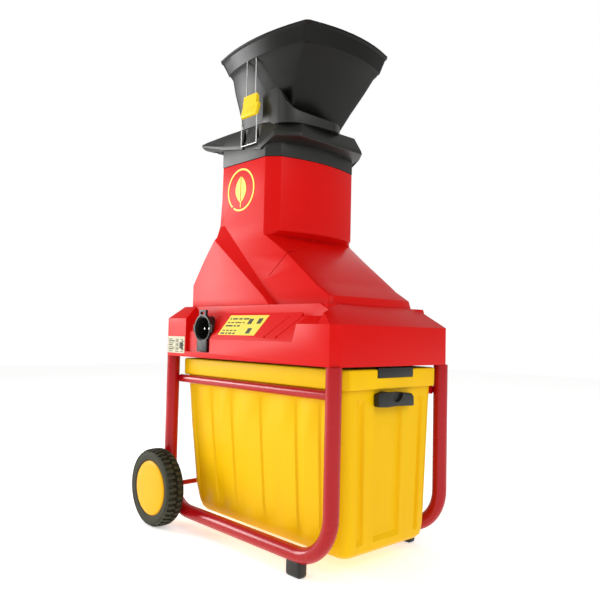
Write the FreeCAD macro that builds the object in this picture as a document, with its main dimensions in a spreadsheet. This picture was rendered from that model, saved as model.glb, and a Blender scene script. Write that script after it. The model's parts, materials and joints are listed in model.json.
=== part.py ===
import FreeCAD, Part
import math
import os
import re
import Sketcher
from FreeCAD import Rotation, Vector

# Electric garden roller shredder.
# Lengths are in millimetres. +Z is up, -Y is the front, where the bin pulls out, and +X is the machine's
# right. Heights run from the floor. Depths are given from the middle of the side frames, and every piece is
# then moved back by mid_y, which puts the origin under the middle of the whole machine.

SIZES = [
    ("mid_y", 32.5, "middle of the whole machine, behind the middle of the side frames"),
    ("tube_r", 16, "frame tube outside radius"),
    ("tube_wall", 2, "frame tube wall"),
    ("frame_x", 174, "side frame centre line from the middle"),
    ("frame_y", 285, "uprights from the frame middle"),
    ("bar_z", 43, "bottom bar centre height"),
    ("bend_r", 92, "side frame bend radius"),
    ("frame_top", 417, "top of the uprights and bottom of the cover"),
    ("rail_r", 10, "bin rail radius"),
    ("rail_x", 157, "bin rail from the middle"),
    ("rail_z", 360, "bin rail height"),
    ("axle_r", 6, "wheel axle radius"),
    ("axle_y", 272, "wheel axle behind the frame middle"),
    ("wheel_r", 94, "tyre outside radius, which is also the axle height"),
    ("wheel_in", 197, "tyre inner face from the middle"),
    ("wheel_out", 240, "tyre outer face from the middle"),
    ("rim_r", 66, "rim outside radius"),
    ("run", 0.05, "radial clearance of a running fit"),
    ("plate", 4, "base plate thickness"),
    ("cover_x", 190, "cover half width"),
    ("cover_front", -301, "cover front face"),
    ("cover_rear", 301, "cover rear face"),
    ("cover_band", 499, "top of the cover's upright band"),
    ("deck_z", 541, "cover deck height"),
    ("skin", 3.5, "moulded cover wall"),
    ("panel_low", 462, "lower edge of the sloped side panel"),
    ("panel_high", 524, "upper edge of the sloped side panel"),
    ("panel_x", 160, "upper edge of the sloped side panel from the middle"),
    ("panel_front", -193, "front end of the sloped side panel"),
    ("panel_rear", 209, "rear end of the sloped side panel and of the inlet pocket"),
    ("inlet_y", 139, "mains inlet centre"),
    ("inlet_z", 487, "mains inlet centre height"),
    ("inlet_r", 32, "mains inlet body radius"),
    ("tower_x", 142, "tower half width"),
    ("tower_front", -71, "tower front face"),
    ("tower_rear", 149, "tower rear face"),
    ("seam_z", 881.5, "joint of tower and collar"),
    ("collar_x", 146, "collar roof half width"),
    ("collar_top", 962, "collar top face"),
    ("neck_x", 86, "hopper neck half width"),
    ("neck_front", -34, "hopper neck front face"),
    ("neck_rear", 130, "hopper neck rear face"),
    ("rim_z", 1161, "hopper rim height"),
    ("band_z", 1118, "bottom of the hopper's rim band"),
    ("wire_r", 1.5, "latch wire radius"),
    ("latch_y", 29, "latch centre"),
    ("lever_x", 147, "latch lever pivot from the middle"),
    ("lever_z", 1016, "latch lever pivot height"),
    ("bail_x", 150, "lower bail from the middle"),
    ("bail_z", 994, "lower bail pivot height"),
    ("hook_z", 917, "lower bail cross wire height"),
    ("bin_floor", 38, "underside of the bin"),
    ("bin_top", 411, "top of the bin rim"),
    ("bin_rim_x", 157, "bin rim half width"),
    ("bin_x", 146, "bin body half width under the rim"),
    ("bin_wall", 3, "bin wall"),
    ("roller_y", 40, "cutter roller axis"),
    ("roller_z", 490, "cutter roller axis height"),
    ("roller_r", 48, "cutter roller radius over its teeth"),
    ("idler_y", -27.07, "intermediate gear axis"),
    ("idler_z", 521.27, "intermediate gear axis height"),
    ("motor_y", -86.84, "motor axis"),
    ("motor_z", 516.04, "motor axis height"),
    ("motor_r", 62, "motor housing radius"),
    ("screw_z", 478, "adjusting screw height"),
    ("switch_z", 805, "switch box centre height"),
]

doc = FreeCAD.newDocument("garden_shredder")
sheet = doc.addObject("Spreadsheet::Sheet", "Sizes")
for row, (alias, value, note) in enumerate(SIZES, 1):
    sheet.set(f"A{row}", note)
    sheet.set(f"B{row}", str(value))
    sheet.setAlias(f"B{row}", alias)
doc.recompute()

ALIASES = [alias for alias, value, note in SIZES]
WORD = re.compile(r"[a-z][a-z0-9_]*")
finished = []


def linked(formula):
    """The formula with each size's name pointing at its cell."""
    return WORD.sub(lambda word: "Sizes." + word.group(0) if word.group(0) in ALIASES else word.group(0),
                    str(formula))


def number(formula):
    return float(sheet.evalExpression(str(formula)))


def finish(name, piece):
    """Name a finished sub-part and move it into the machine's own frame."""
    piece.Label = name
    piece.setExpression("Placement.Base.y", linked("-mid_y"))
    finished.append(piece)
    return piece


# Primitives and booleans

def place(piece, x, y, z):
    for axis, formula in (("x", x), ("y", y), ("z", z)):
        piece.setExpression(f"Placement.Base.{axis}", linked(formula))


def block(x_low, x_high, y_low, y_high, z_low, z_high):
    piece = doc.addObject("Part::Box", "block")
    piece.setExpression("Length", linked(f"({x_high}) - ({x_low})"))
    piece.setExpression("Width", linked(f"({y_high}) - ({y_low})"))
    piece.setExpression("Height", linked(f"({z_high}) - ({z_low})"))
    place(piece, x_low, y_low, z_low)
    return piece


TURNS = {"x": Rotation(Vector(0, 1, 0), 90), "y": Rotation(Vector(1, 0, 0), -90), "z": Rotation()}


def rod(along, x, y, z, radius, length):
    """A round bar that starts at x, y, z and runs in the positive direction of one axis."""
    piece = doc.addObject("Part::Cylinder", "rod")
    piece.Placement.Rotation = TURNS[along]
    piece.setExpression("Radius", linked(radius))
    piece.setExpression("Height", linked(length))
    place(piece, x, y, z)
    return piece


def ball(x, y, z, radius):
    piece = doc.addObject("Part::Sphere", "ball")
    piece.setExpression("Radius", linked(radius))
    place(piece, x, y, z)
    return piece


def join(pieces):
    piece = doc.addObject("Part::MultiFuse", "join")
    piece.Shapes = pieces
    return piece


def cut(base, tools):
    piece = doc.addObject("Part::Cut", "cut")
    piece.Base = base
    piece.Tool = tools[0] if len(tools) == 1 else join(tools)
    return piece


def group(pieces):
    piece = doc.addObject("Part::Compound", "group")
    piece.Links = pieces
    return piece


# Sketched solids

def new_sketch(body, role, offset):
    sketch = body.newObject("Sketcher::SketchObject", "sketch")
    origin_plane = [feature for feature in body.Origin.OriginFeatures if feature.Role == role][0]
    sketch.AttachmentSupport = [(origin_plane, "")]
    sketch.MapMode = "FlatFace"
    sketch.setExpression("AttachmentOffset.Base.z", linked(offset))
    return sketch


def draw_outline(sketch, corners):
    """A closed outline of straight edges whose corners are dimensioned from the sketch's origin."""
    spots = [Vector(number(a), number(b), 0) for a, b in corners]
    for here, there in zip(spots, spots[1:] + spots[:1]):
        sketch.addGeometry(Part.LineSegment(here, there))
    for edge, (corner, spot) in enumerate(zip(corners, spots)):
        sketch.addConstraint(Sketcher.Constraint("Coincident", edge, 2, (edge + 1) % len(spots), 1))
        for kind, formula, value in (("DistanceX", corner[0], spot.x), ("DistanceY", corner[1], spot.y)):
            index = sketch.addConstraint(Sketcher.Constraint(kind, -1, 1, edge, 1, value))
            sketch.setExpression(f"Constraints[{index}]", linked(formula))


def prism(role, corners, low, high):
    """An outline on one origin plane, padded from low to high across it."""
    body = doc.addObject("PartDesign::Body", "prism")
    start = f"-({high})" if role == "XZ_Plane" else low
    sketch = new_sketch(body, role, start)
    draw_outline(sketch, corners)
    pad = body.newObject("PartDesign::Pad", "pad")
    pad.Profile = sketch
    pad.setExpression("Length", linked(f"({high}) - ({low})"))
    return body


def loft(sections):
    """Flat-faced body through level outlines, given as height and corners."""
    body = doc.addObject("PartDesign::Body", "loft")
    sketches = []
    for height, corners in sections:
        sketch = new_sketch(body, "XY_Plane", height)
        draw_outline(sketch, corners)
        sketches.append(sketch)
    doc.recompute()
    skin = body.newObject("PartDesign::AdditiveLoft", "skin")
    skin.Profile = sketches[0]
    skin.Sections = [(sketch, [""]) for sketch in sketches[1:]]
    skin.Ruled = True
    return body


def turned(corners, x, y, z):
    """Outline in axial position and radius, revolved about the machine's X direction at x, y, z."""
    body = doc.addObject("PartDesign::Body", "turned")
    sketch = new_sketch(body, "XY_Plane", 0)
    draw_outline(sketch, corners)
    turn = body.newObject("PartDesign::Revolution", "turn")
    turn.Profile = sketch
    turn.ReferenceAxis = (sketch, ["H_Axis"])
    turn.Angle = 360
    place(body, x, y, z)
    return body


def moved(body):
    """A body with a place of its own, held in a compound so that the whole can be moved again."""
    return group([body])


def plan(half_x, front, rear, bow, front_x, front_y, rear_cut):
    """Plan outline, symmetric in x: the front bows forward by bow, and all four corners are cut off."""
    right = [
        (30, front),
        (f"{half_x} - {front_x}", f"{front} + {bow}"),
        (half_x, f"{front} + {bow} + {front_y}"),
        (half_x, f"{rear} - {rear_cut}"),
        (f"{half_x} - {rear_cut}", rear),
    ]
    left = [(f"-({x})", y) for x, y in reversed(right)]
    return right + left


def mirrored(corners):
    return [(f"-({a})", b) for a, b in corners]


# Frame

def side_frame(side):
    """One tube, bent at both bottom corners, with the axle hole drilled through its rear bend."""
    body = doc.addObject("PartDesign::Body", "side_frame")
    path = new_sketch(body, "YZ_Plane", 0)
    end_y, top, low, bend = (number(size) for size in ("frame_y", "frame_top", "bar_z", "bend_r"))
    inner = end_y - bend
    centre_z = low + bend
    quarter = math.pi / 2
    path.addGeometry(Part.LineSegment(Vector(-end_y, top, 0), Vector(-end_y, centre_z, 0)))
    path.addGeometry(Part.ArcOfCircle(Part.Circle(Vector(-inner, centre_z, 0), Vector(0, 0, 1), bend),
                                      2 * quarter, 3 * quarter))
    path.addGeometry(Part.LineSegment(Vector(-inner, low, 0), Vector(inner, low, 0)))
    path.addGeometry(Part.ArcOfCircle(Part.Circle(Vector(inner, centre_z, 0), Vector(0, 0, 1), bend),
                                      3 * quarter, 4 * quarter))
    path.addGeometry(Part.LineSegment(Vector(end_y, centre_z, 0), Vector(end_y, top, 0)))
    section = new_sketch(body, "XY_Plane", "frame_top")
    for radius in ("tube_r", "tube_r - tube_wall"):
        ring = section.addGeometry(Part.Circle(Vector(0, -end_y, 0), Vector(0, 0, 1), number(radius)))
        index = section.addConstraint(Sketcher.Constraint("Radius", ring, number(radius)))
        section.setExpression(f"Constraints[{index}]", linked(radius))
    doc.recompute()
    pipe = body.newObject("PartDesign::AdditivePipe", "pipe")
    pipe.Profile = section
    pipe.Spine = (path, [f"Edge{edge}" for edge in range(1, 6)])
    place(body, f"{side} * frame_x", 0, 0)
    hole = rod("x", f"{side} * frame_x - 2 * tube_r", "axle_y", "wheel_r", "axle_r + run", "4 * tube_r")
    return cut(body, [hole])


def rail(side):
    """Bin rail, its ends shaped to the uprights."""
    bar = rod("y", f"{side} * rail_x", "6 - frame_y", "rail_z", "rail_r", "2 * frame_y - 12")
    uprights = [rod("z", f"{side} * frame_x", f"{end} * frame_y", "rail_z - 20", "tube_r", 40)
                for end in (-1, 1)]
    bore = rod("y", f"{side} * rail_x", "-frame_y", "rail_z", "rail_r - tube_wall", "2 * frame_y")
    return cut(bar, uprights + [bore])


def front_foot(side):
    """Moulded foot that saddles the underside of the bottom bar."""
    foot = block(f"{side} * frame_x - 12", f"{side} * frame_x + 12", -213, -170, 0, "bar_z - 7")
    bar = rod("y", f"{side} * frame_x", -220, "bar_z", "tube_r", 60)
    return cut(foot, [bar])


for side, name in ((-1, "left"), (1, "right")):
    finish(f"side_frame_{name}", side_frame(side))
    finish(f"rail_{name}", rail(side))
    finish(f"front_foot_{name}", front_foot(side))

finish("axle", group([rod("x", -238, "axle_y", "wheel_r", "axle_r", 476)]))

UPRIGHTS = [(x_side, y_side) for x_side in (-1, 1) for y_side in (-1, 1)]
plugs = [rod("z", f"{x} * frame_x", f"{y} * frame_y", "frame_top - 30", "tube_r - tube_wall", 30)
         for x, y in UPRIGHTS]
bolt_holes = [rod("z", f"{x} * frame_x", f"{y} * frame_y", "frame_top - 24", 3, 60) for x, y in UPRIGHTS]
finish("tube_plugs", cut(join(plugs), bolt_holes))

bolts = []
for x, y in UPRIGHTS:
    shank = rod("z", f"{x} * frame_x", f"{y} * frame_y", "frame_top - 24", 3, "24 + plate")
    head = rod("z", f"{x} * frame_x", f"{y} * frame_y", "frame_top + plate", 5, 4)
    bolts.append(join([shank, head]))
finish("frame_bolts", group(bolts))

# The base plate closes the cover from below and carries the motor, gearbox and cutter.
deck = prism("XY_Plane", plan("cover_x - skin", "cover_front + skin", "cover_rear - skin", 0, 20, 14, 12),
             "frame_top", "frame_top + plate")
discharge = block(-52, 52, -10, 118, "frame_top - 5", "frame_top + plate + 5")
lock_notch = block(-60, 60, -302, -285, "frame_top - 5", "frame_top + plate + 5")
finish("base_plate", cut(deck, [discharge, lock_notch] + bolt_holes))

# Wheels

for side, name in ((-1, "left"), (1, "right")):
    tyre = turned([("wheel_in + 3", "rim_r"), ("wheel_out - 3", "rim_r"), ("wheel_out", "rim_r + 6"),
                   ("wheel_out", "wheel_r - 9"), ("wheel_out - 9", "wheel_r"), ("wheel_in + 9", "wheel_r"),
                   ("wheel_in", "wheel_r - 9"), ("wheel_in", "rim_r + 6")], 0, "axle_y", "wheel_r")
    rim = turned([(191, "axle_r + run"), (234.5, "axle_r + run"), (234.5, 14), (222, 14), (222, 56),
                  (236, 56), (236, "rim_r"), (200, "rim_r"), (200, 60), (218, 58), (218, 14), (191, 14)],
                 0, "axle_y", "wheel_r")
    cap = turned([(236, 56), (236, 64), (238.5, 63), (241, 50), (242, 20), (242, 0), (239, 0), (239, 20),
                  (238.2, 48)], 0, "axle_y", "wheel_r")
    for piece, label in ((tyre, "tyre"), (rim, "wheel_rim"), (cap, "hub_cap")):
        if side < 0:
            piece.Placement.Rotation = Rotation(Vector(0, 0, 1), 180)
        finish(f"{label}_{name}", moved(piece))

washers = []
for x in (-237.2, 235.2):
    disc = rod("x", x, "axle_y", "wheel_r", 12, 2)
    washers.append(cut(disc, [rod("x", f"{x} - 1", "axle_y", "wheel_r", "axle_r", 4)]))
finish("axle_washers", group(washers))


# Cover and tower

def side_panel(side, grow):
    """Wedge that slopes the cover's side between its front and rear blocks."""
    corners = [(-230, f"panel_low - {grow}"), (f"{grow} - cover_x", f"panel_low - {grow}"),
               (f"{grow} - panel_x", f"panel_high - {grow}"), (f"{grow} - panel_x", "deck_z + 5"),
               (-230, "deck_z + 5")]
    if side > 0:
        corners = mirrored(corners)
    return prism("XZ_Plane", corners, f"panel_front - {grow}", f"panel_rear + {grow}")


def cover_outline(grow):
    """The cover's block with chamfered upper edges, drawn in by a wall thickness all round."""
    band = plan(f"cover_x - {grow}", f"cover_front + {grow}", f"cover_rear - {grow}", 0, 20, 14, 12)
    top = plan(f"cover_x - 30 - {grow}", f"cover_front + 51 + {grow}", f"cover_rear - 29 - {grow}",
               0, 20, 14, 12)
    below = 0 if grow == 0 else 1
    return loft([(f"frame_top - {below}", band), (f"cover_band - {grow} / 2", band), (f"deck_z - {grow}", top)])


def inlet_pocket(grow):
    return block(-230, f"{grow} - 178", f"100 - {grow}", f"207 + {grow}", f"440 - {grow}", f"530 + {grow}")


outer = cut(cover_outline(0), [side_panel(-1, 0), side_panel(1, 0), inlet_pocket(0)])
inner = cut(cover_outline("skin"), [side_panel(-1, "skin"), side_panel(1, "skin"), inlet_pocket("skin")])
tower_hole = block(-136, 136, -222, 232, "deck_z - 12", "deck_z + 5")
inlet_hole = rod("x", -200, "inlet_y", "inlet_z", "inlet_r + 0.2", 60)
screw_hole = rod("y", 0, 280, "screw_z", 9, 40)
finish("cover_base", cut(outer, [inner, tower_hole, inlet_hole, screw_hole]))


def tower_form(grow):
    """Upright feed tower that runs out into a long slope at the front and a flare at the rear."""
    def level(height, half_x, front, rear, bow, front_x, front_y):
        sides = (f"{half_x} - {grow}", f"{front} + {grow}", f"{rear} - {grow}")
        return (height, plan(*sides, bow, front_x, front_y, 12))
    past = 0 if grow == 0 else 1
    return loft([
        level(f"deck_z - {past}", "tower_x + 10", -233, 242, 6, 10, 8),
        level(f"559 - {grow} / 2", "tower_x + 6", -233, 242, 6, 10, 8),
        level(f"595 - {grow} / 2", "tower_x + 3", -190, 242, 6, 10, 8),
        level(f"656 - {grow} / 2", "tower_x", -118, 196, 6, 14, 10),
        level(f"705 - {grow} / 2", "tower_x", -71, "tower_rear + 3", 19, 25, 28),
        level(f"712 - {grow} / 2", "tower_x", "tower_front", "tower_rear + 3", 19, 25, 28),
        level(f"seam_z + {past}", "tower_x", "tower_front", "tower_rear", 19, 25, 28),
    ])


finish("tower", cut(tower_form(0), [tower_form("skin")]))

# Labels and badge: thin pieces that lie on the skin.
label = prism("XY_Plane", [(-60, 62), (-81, 12), (52, 12), (78, 62)], 0, 0.4)
slope = Vector(number("cover_x - panel_x"), 0, number("panel_high - panel_low")).normalize()
label.Placement.Rotation = Rotation(Vector(0, -1, 0), slope, Vector(-slope.z, 0, slope.x), "XYZ")
place(label, "-cover_x", 0, "panel_low")
finish("panel_label", moved(label))
finish("rating_label", group([block("-cover_x - 0.5", "-cover_x", 213, 287, 425, 466)]))
badge = cut(rod("x", "-tower_x - 0.6", 63.7, 817, 51, 0.6), [rod("x", "-tower_x - 2", 63.7, 817, 45, 4)])
finish("badge_ring", badge)

# Mains inlet: a deep round socket with a cable hook under it, set in its pocket.
body = rod("x", -189, "inlet_y", "inlet_z", "inlet_r", 39)
hook = block(-188, -180, "inlet_y - 20", "inlet_y + 20", 441, "inlet_z")
well = rod("x", -195, "inlet_y", "inlet_z", "inlet_r - 5", 37)
finish("inlet_housing", cut(join([body, hook]), [well]))
finish("inlet_pins", group([rod("x", -176, f"inlet_y + {gap}", "inlet_z", 2.4, 18) for gap in (-9.5, 9.5)]))


# Collar and hopper

def ring_plan(grow, half_x="neck_x", front="neck_front", rear="neck_rear", corner=10):
    return plan(f"{half_x} + {grow}", f"{front} - ({grow})", f"{rear} + {grow}", 0, corner, corner, corner)


band_plan = plan("tower_x", "tower_front", "tower_rear", 19, 25, 28, 12)
band = loft([("seam_z", band_plan), (925, band_plan)])
eave = plan("collar_x", -97, "tower_rear + 6", 6, 44, 54, 12)
roof = loft([(921, eave), (938, eave), ("collar_top", plan(112, -74, "tower_rear + 2", 4, 20, 20, 12))])
lip = prism("YZ_Plane", [(140, 962), (229, 956), (239, 950), (235, 938), (222, 938), (222, 945), (140, 945)],
            -136, 136)
throat = loft([(height, ring_plan(1)) for height in (880, "collar_top + 1")])
hollow = loft([(height, plan("tower_x - 4", "tower_front + 4", "tower_rear - 4", 19, 25, 28, 12))
               for height in (880, 917)])
finish("collar", cut(join([band, roof, lip]), [throat, hollow]))

def bowed(half_x, front, rear, bow, corner):
    """Plan outline whose four sides swell outwards by bow at their middles; the corners are cut off."""
    side, low, high = half_x - bow, front + bow, rear - bow
    right = [(30, front), (side - corner, low), (side, low + corner), (half_x, -20), (half_x, 55),
             (side, high - corner), (side - corner, high), (30, rear)]
    return right + [(-x, y) for x, y in reversed(right)]


def hopper_form(levels, grow):
    return loft([(height, bowed(half_x - grow, front + grow, rear - grow, bow, corner))
                 for height, half_x, front, rear, bow, corner in levels])


# A straight spigot in the collar, a tapering funnel, and the flared rim band. Each level gives a height, the
# half width, the front and rear faces, how far the sides swell, and the corner.
FUNNEL = [("collar_top", 92, -41, 137, 0, 10), (990, 92, -41, 137, 0, 10), ("band_z + 4", 142, -148, 162, 19, 12)]
BAND = [("band_z", 148.5, -155, 169, 19, 14), ("rim_z", 158, -171, 196, 19, 16)]
HOPPER_WALL = 3
spigot = loft([(900, ring_plan(0)), ("collar_top + 2", ring_plan(0))])
bore = loft([(899, ring_plan(-HOPPER_WALL)), ("collar_top + 3", ring_plan(-HOPPER_WALL))])
funnel = hopper_form(FUNNEL, 0)
funnel_space = hopper_form([("collar_top + 1", *FUNNEL[0][1:]), *FUNNEL[1:]], HOPPER_WALL)
rim_space = hopper_form([("band_z + 3", *FUNNEL[2][1:]), ("rim_z + 1", *BAND[1][1:])], HOPPER_WALL)
gap_plan = bowed(145.5, -152, 166, 19, 14)
band_gap = cut(loft([("band_z - 1", gap_plan), ("band_z + 4", gap_plan)]), [funnel])
wire_ends = [rod("z", "-lever_x", f"latch_y + {gap}", "band_z - 2", "wire_r", 5) for gap in (-17, 17)]
finish("hopper", cut(join([spigot, funnel, cut(hopper_form(BAND, 0), [band_gap])]),
                     [bore, funnel_space, rim_space] + wire_ends))


# Hopper latch, on the left side: a wire loop hangs from the rim band, an over-centre lever turns on the loop, and
# a wire bail sprung into the lever's ends reaches down to the collar.

def wire_loop(x, reach, low, high):
    """A wire bent into a U: two upright legs, reach either side of the latch's centre, joined at their feet."""
    pieces = [rod("y", x, f"latch_y - {reach}", low, "wire_r", 2 * reach)]
    for y in (f"latch_y - {reach}", f"latch_y + {reach}"):
        pieces += [rod("z", x, y, low, "wire_r", f"{high} - {low}"), ball(x, y, low, "wire_r")]
    return pieces


finish("latch_wires", join(wire_loop("-lever_x", 17, "lever_z", "band_z + 3")))

lever = prism("XZ_Plane", [(-156, 983), (-147, 983), (-140, 1030), (-150, 1036)], "latch_y - 26", "latch_y + 26")
wire_slots = [block(-162, "2.1 - lever_x", f"latch_y + {gap} - 2.5", f"latch_y + {gap} + 2.5", "lever_z - 7", 1040)
              for gap in (-17, 17)]
pivots = [rod("y", f"-{x}", "latch_y - 27", z, "wire_r + run", 54)
          for x, z in (("lever_x", "lever_z"), ("bail_x", "bail_z"))]
finish("latch_lever", cut(lever, wire_slots + pivots))

reach = 27.8
ends = []
for y, inward in ((f"latch_y - {reach}", f"latch_y - {reach}"), (f"latch_y + {reach}", f"latch_y + {reach} - 9")):
    ends += [ball("-bail_x", y, "bail_z", "wire_r"), rod("y", "-bail_x", inward, "bail_z", "wire_r", 9)]
finish("latch_bail", join(wire_loop("-bail_x", reach, "hook_z", "bail_z") + ends))


# Collecting bin

def bin_body(grow, low, high):
    """The bin's tapering body, with its bottom edge turned in."""
    def level(height, half_x, front, rear):
        return (height, plan(f"{half_x} - {grow}", f"{front} + {grow}", f"{rear} - {grow}", 0, 22, 22, 22))
    return loft([level(low, 118, -264, 206), level(56, 129, -277, 222), level(105, 134, -280, 240),
                 level(250, 141, -282, 259), level(370, "bin_x", -284, 270), level(high, "bin_x + 1", -285, 271)])


shell = bin_body(0, "bin_floor", "bin_top")
cavity = bin_body("bin_wall", "bin_floor + bin_wall", "bin_top + 1")
rim_corner = (0, 26, 26, 26)
rim_plan = plan("bin_rim_x", -295, 281, *rim_corner)
rim_block = loft([(370.3, rim_plan), ("bin_top", rim_plan)])
channel_plan = plan("bin_rim_x - 2.5", -292.5, 278.5, *rim_corner)
rim_channel = loft([(369, channel_plan), ("bin_top - 2.5", channel_plan)])
notch = block(-57.5, 57.5, -296, -286.2, 392.8, "bin_top + 1")
finish("bin_shell", cut(join([cut(rim_block, [rim_channel]), shell]), [cavity, notch]))

grip = block(-57, 57, -301, -282, 334, 366)
grip_gap = block(-45, 45, -297, -286, 333, 358)
bin_form = bin_body(0, "bin_floor", "bin_top")
finish("bin_handle", cut(grip, [grip_gap, bin_form]))

lock_block = block(-57, 57, -297, -287.3, 393.3, 414.5)
lock_stem = block(-35, 35, -291.7, -287.3, 372, 395)
finish("bin_lock", join([lock_block, lock_stem]))

finish("interlock_plunger", group([rod("z", 0, -291.5, 415, 4, 25)]))
plunger_bore = rod("z", 0, -291.5, 435, "4 + run", 24)
finish("interlock_switch", cut(block(-12, 12, -297.5, -281.5, 436, 470), [plunger_bore]))


# Cutter and drive. All gear, roller and motor axes run along X.

def radial_body(spots, x_low, x_high, bore, y, z):
    """Padded outline given by radius and angle about an axis along X, with a round bore."""
    corners = [Vector(radius * math.cos(angle), radius * math.sin(angle), 0) for radius, angle in spots]
    body = doc.addObject("PartDesign::Body", "radial")
    sketch = new_sketch(body, "YZ_Plane", x_low)
    for here, there in zip(corners, corners[1:] + corners[:1]):
        sketch.addGeometry(Part.LineSegment(here, there))
    sketch.addGeometry(Part.Circle(Vector(0, 0, 0), Vector(0, 0, 1), bore))
    pad = body.newObject("PartDesign::Pad", "pad")
    pad.Profile = sketch
    pad.setExpression("Length", linked(f"{x_high} - ({x_low})"))
    place(body, 0, y, z)
    return moved(body)


def toothed_wheel(teeth, module, x_low, x_high, bore, y, z, turn):
    """Spur gear with involute flanks; turn, in degrees, sets one tooth's direction from +Y."""
    pressure = math.radians(20)
    pitch_r = teeth * module / 2
    base_r = pitch_r * math.cos(pressure)
    tip_r = pitch_r + 0.8 * module
    root_r = pitch_r - 1.15 * module
    half_pitch_tooth = 0.42 * math.pi / teeth

    def flank(radius):
        """Half the tooth's angle at a radius."""
        roll = math.sqrt(max(radius * radius / base_r ** 2 - 1, 0))
        return half_pitch_tooth - (roll - math.atan(roll)) + (math.tan(pressure) - pressure)

    flank_start = max(base_r, root_r + 0.1)
    steps = [root_r, flank_start, (pitch_r + flank_start) / 2, pitch_r + 0.3 * module, tip_r]
    spots = []
    for tooth in range(teeth):
        middle = math.radians(turn) + tooth * 2 * math.pi / teeth
        spots += [(radius, middle - flank(radius)) for radius in steps]
        spots += [(radius, middle + flank(radius)) for radius in reversed(steps)]
    return radial_body(spots, x_low, x_high, bore, y, z)


def ridged(count, ridge, x_low, x_high, bore, y, z):
    """Body with the same ridge, given as radius and degrees, repeated round its axis."""
    spots = [(radius, math.radians(degrees + 360 * step / count)) for step in range(count)
             for radius, degrees in ridge]
    return radial_body(spots, x_low, x_high, bore, y, z)


def direction(start, end):
    """Angle in degrees from one axis to another, each named by its sizes' first word."""
    across = number(f"{end}_y - {start}_y")
    up = number(f"{end}_z - {start}_z")
    return math.degrees(math.atan2(up, across))


OUTPUT_TEETH, SMALL_TEETH, LARGE_TEETH, PINION_TEETH = 60, 14, 84, 12
to_idler = direction("roller", "idler")
to_motor = direction("idler", "motor")

roller = number("roller_r")
finish("cutter_roller", ridged(8, [(roller - 7, -19), (roller, -9), (roller, -2), (roller - 7, 4)],
                               -50, 50, 10, "roller_y", "roller_z"))
finish("cutter_shaft", group([rod("x", -64, "roller_y", "roller_z", 10, 175)]))
finish("output_gear", toothed_wheel(OUTPUT_TEETH, 2, 84, 104, 10, "roller_y", "roller_z",
                                    to_idler + 180 / OUTPUT_TEETH))

large = toothed_wheel(LARGE_TEETH, 1.25, 68, 80, 6, "idler_y", "idler_z", to_motor + 180 / LARGE_TEETH)
small = toothed_wheel(SMALL_TEETH, 2, 80, 104, 6, "idler_y", "idler_z", to_idler + 180)
finish("intermediate_gear", join([large, small, rod("x", 61, "idler_y", "idler_z", "axle_r", 50)]))
finish("motor_pinion", toothed_wheel(PINION_TEETH, 1.25, 66, 82, 4, "motor_y", "motor_z", to_motor + 180))

frame_box = block(-60, 60, -16, 132, "frame_top + plate", 602)
cutter_space = block(-52, 52, -10, 124, "frame_top", 610)
bush_seats = rod("x", -70, "roller_y", "roller_z", 16, 140)
screw_bore = rod("y", 0, 120, "screw_z", "axle_r + run", 20)
finish("cutter_housing", cut(frame_box, [cutter_space, bush_seats, screw_bore]))

bushes = []
for x, length in ((-60, 8), (52, 12), (108, 4)):
    ring = rod("x", x, "roller_y", "roller_z", 16, length)
    bushes.append(cut(ring, [rod("x", x - 1, "roller_y", "roller_z", "10 + run", length + 2)]))
finish("shaft_bushes", group(bushes))

jaw = join([block(-50, 50, 89, 103, 445, 525), rod("y", 0, 100, "screw_z", 12, 14)])
finish("pressure_plate", cut(jaw, [rod("y", 0, 94, "screw_z", "axle_r + run", 30)]))
finish("adjusting_screw", group([rod("y", 0, 101, "screw_z", "axle_r", 205)]))
knob_spots = ridged(6, [(30, -22), (30, 22), (26, 30)], 0, 22, 6, 0, 0)
knob_spots.Placement = FreeCAD.Placement(Vector(0, 303, number("screw_z")), Rotation(Vector(0, 0, 1), 90))
finish("adjusting_knob", moved(knob_spots))

# Motor: a can with end walls, the wound stator in it, and the rotor with its fan.
can = rod("x", -128, "motor_y", "motor_z", "motor_r", 188)
can_space = rod("x", -124, "motor_y", "motor_z", "motor_r - 4", 180)
shaft_bore = rod("x", -126, "motor_y", "motor_z", "axle_r + run", 190)
finish("motor_housing", cut(can, [can_space, shaft_bore]))
windings = rod("x", -80, "motor_y", "motor_z", "motor_r - 4", 90)
finish("motor_stator", cut(windings, [rod("x", -90, "motor_y", "motor_z", 51, 110)]))
core = rod("x", -76, "motor_y", "motor_z", 50, 82)
finish("motor_rotor", join([core, rod("x", -125.5, "motor_y", "motor_z", "axle_r", 187.5),
                            rod("x", 62, "motor_y", "motor_z", 4, 21)]))
finish("cooling_fan", ridged(9, [(15, -12), (52, -3), (52, 3), (15, 12)], -112, -98, 6, "motor_y", "motor_z"))


def gearbox_form(x_low, x_high, output_r, idler_r, pinion_r):
    """Three overlapping round chambers, one about each shaft."""
    return join([rod("x", x_low, f"{axis}_y", f"{axis}_z", radius, f"{x_high} - {x_low}")
                 for axis, radius in (("roller", output_r), ("idler", idler_r), ("motor", pinion_r))])


def shaft_holes(x_low, x_high):
    return [rod("x", x_low, "roller_y", "roller_z", 16, x_high - x_low),
            rod("x", x_low, "idler_y", "idler_z", "axle_r + run", x_high - x_low)]


motor_hole = rod("x", 58, "motor_y", "motor_z", 7, 8)
finish("gearbox_housing", cut(gearbox_form(60, 108, 68, 62, 24),
                              [gearbox_form(64, 109, 64.5, 58, 20), motor_hole] + shaft_holes(58, 66)))
finish("gearbox_cover", cut(gearbox_form(108, 112, 68, 62, 24), shaft_holes(106, 114)))

chute_low, chute_high = (56, -14, 128), (102, -46, 140)
chute_skin = 3


def chute_plan(sizes, grow):
    half_x, front, rear = sizes
    return plan(half_x - grow, front + grow, rear - grow, 0, 8, 8, 8)


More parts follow.
